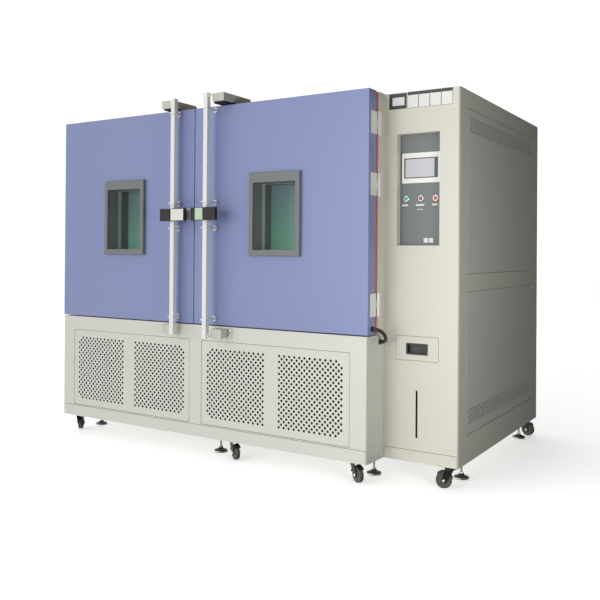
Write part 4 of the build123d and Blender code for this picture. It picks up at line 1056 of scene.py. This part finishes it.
def add_camera():
    """Camera with its axes built from heading, pitch and roll. A small shift matches the photo's
    framing."""
    data = bpy.data.cameras.new("camera")
    data.sensor_width = SENSOR_MM
    data.lens = FOCAL_PX / FRAME_PX * SENSOR_MM
    data.shift_y = (CENTRE_ROW_PX - FRAME_PX / 2) / FRAME_PX
    data.clip_end = FAR_CLIP
    ahead = Vector(
        (
            -sin(CAMERA_YAW) * cos(CAMERA_PITCH),
            cos(CAMERA_YAW) * cos(CAMERA_PITCH),
            -sin(CAMERA_PITCH),
        )
    )
    level = Vector((cos(CAMERA_YAW), sin(CAMERA_YAW), 0.0))
    upward = level.cross(ahead)
    right = level * cos(CAMERA_ROLL) + upward * sin(CAMERA_ROLL)
    upright = upward * cos(CAMERA_ROLL) - level * sin(CAMERA_ROLL)
    turn = Matrix((right, upright, -ahead)).transposed().to_4x4()
    made = bpy.data.objects.new("camera", data)
    made.matrix_world = Matrix.Translation(CAMERA_PLACE) @ turn
    bpy.context.scene.collection.objects.link(made)
    bpy.context.scene.camera = made


def add_area(name, place, target, size, power):
    """A square white area light aimed at a point."""
    data = bpy.data.lights.new(name, "AREA")
    data.size = size
    data.energy = power
    made = bpy.data.objects.new(name, data)
    made.location = place
    made.rotation_mode = "QUATERNION"
    made.rotation_quaternion = (Vector(target) - Vector(place)).to_track_quat("-Z", "Y")
    bpy.context.scene.collection.objects.link(made)


add_camera()

REACH = 30.0
FLOOR_GLOW = 0.45
FLOOR_WHITE = (0.92, 0.92, 0.92, 1)

floor_data = bpy.data.meshes.new("floor")
floor_data.from_pydata(
    [(-REACH, -REACH, 0), (REACH, -REACH, 0), (REACH, REACH, 0), (-REACH, REACH, 0)], [], [(0, 1, 2, 3)]
)
floor_paint = painted("floor_white", FLOOR_WHITE, 0.9, 0.01, 0.0)
floor_shader = floor_paint.node_tree.nodes["Principled BSDF"]
floor_shader.inputs["Emission Color"].default_value = (1, 1, 1, 1)
floor_shader.inputs["Emission Strength"].default_value = FLOOR_GLOW
floor_data.materials.append(floor_paint)
floor = bpy.data.objects.new("floor", floor_data)
bpy.context.scene.collection.objects.link(floor)
floor.visible_diffuse = False
floor.visible_glossy = False


BRIGHT = 1.05
DIM = 0.02
FALL_FROM = -0.15
FALL_TO = 0.35


def add_studio():
    """Soft studio light: the surroundings are bright on the left and fall off towards the right.

    The brightness follows the X part of the direction, from BRIGHT below FALL_FROM to DIM above
    FALL_TO."""
    world = bpy.data.worlds.new("studio")
    bpy.context.scene.world = world
    world.use_nodes = True
    nodes, links = world.node_tree.nodes, world.node_tree.links
    direction = nodes.new("ShaderNodeTexCoord")
    parts = nodes.new("ShaderNodeSeparateXYZ")
    links.new(direction.outputs["Generated"], parts.inputs["Vector"])
    fall = nodes.new("ShaderNodeMapRange")
    fall.interpolation_type = "SMOOTHSTEP"
    fall.inputs["From Min"].default_value = FALL_FROM
    fall.inputs["From Max"].default_value = FALL_TO
    fall.inputs["To Min"].default_value = BRIGHT
    fall.inputs["To Max"].default_value = DIM
    links.new(parts.outputs["X"], fall.inputs["Value"])
    links.new(fall.outputs["Result"], nodes["Background"].inputs["Strength"])
    nodes["Background"].inputs["Color"].default_value = (1, 1, 1, 1)


add_studio()
# Place, target, side in metres and power in watts
add_area("key", (-0.6, -6.5, 1.5), (-0.2, -0.7, 0.9), 3.0, 82.0)
add_area("edge", (2.7, -1.8, 0.95), (1.2, -0.4, 0.95), 1.0, 22.5)

bpy.context.scene.view_settings.view_transform = "Standard"
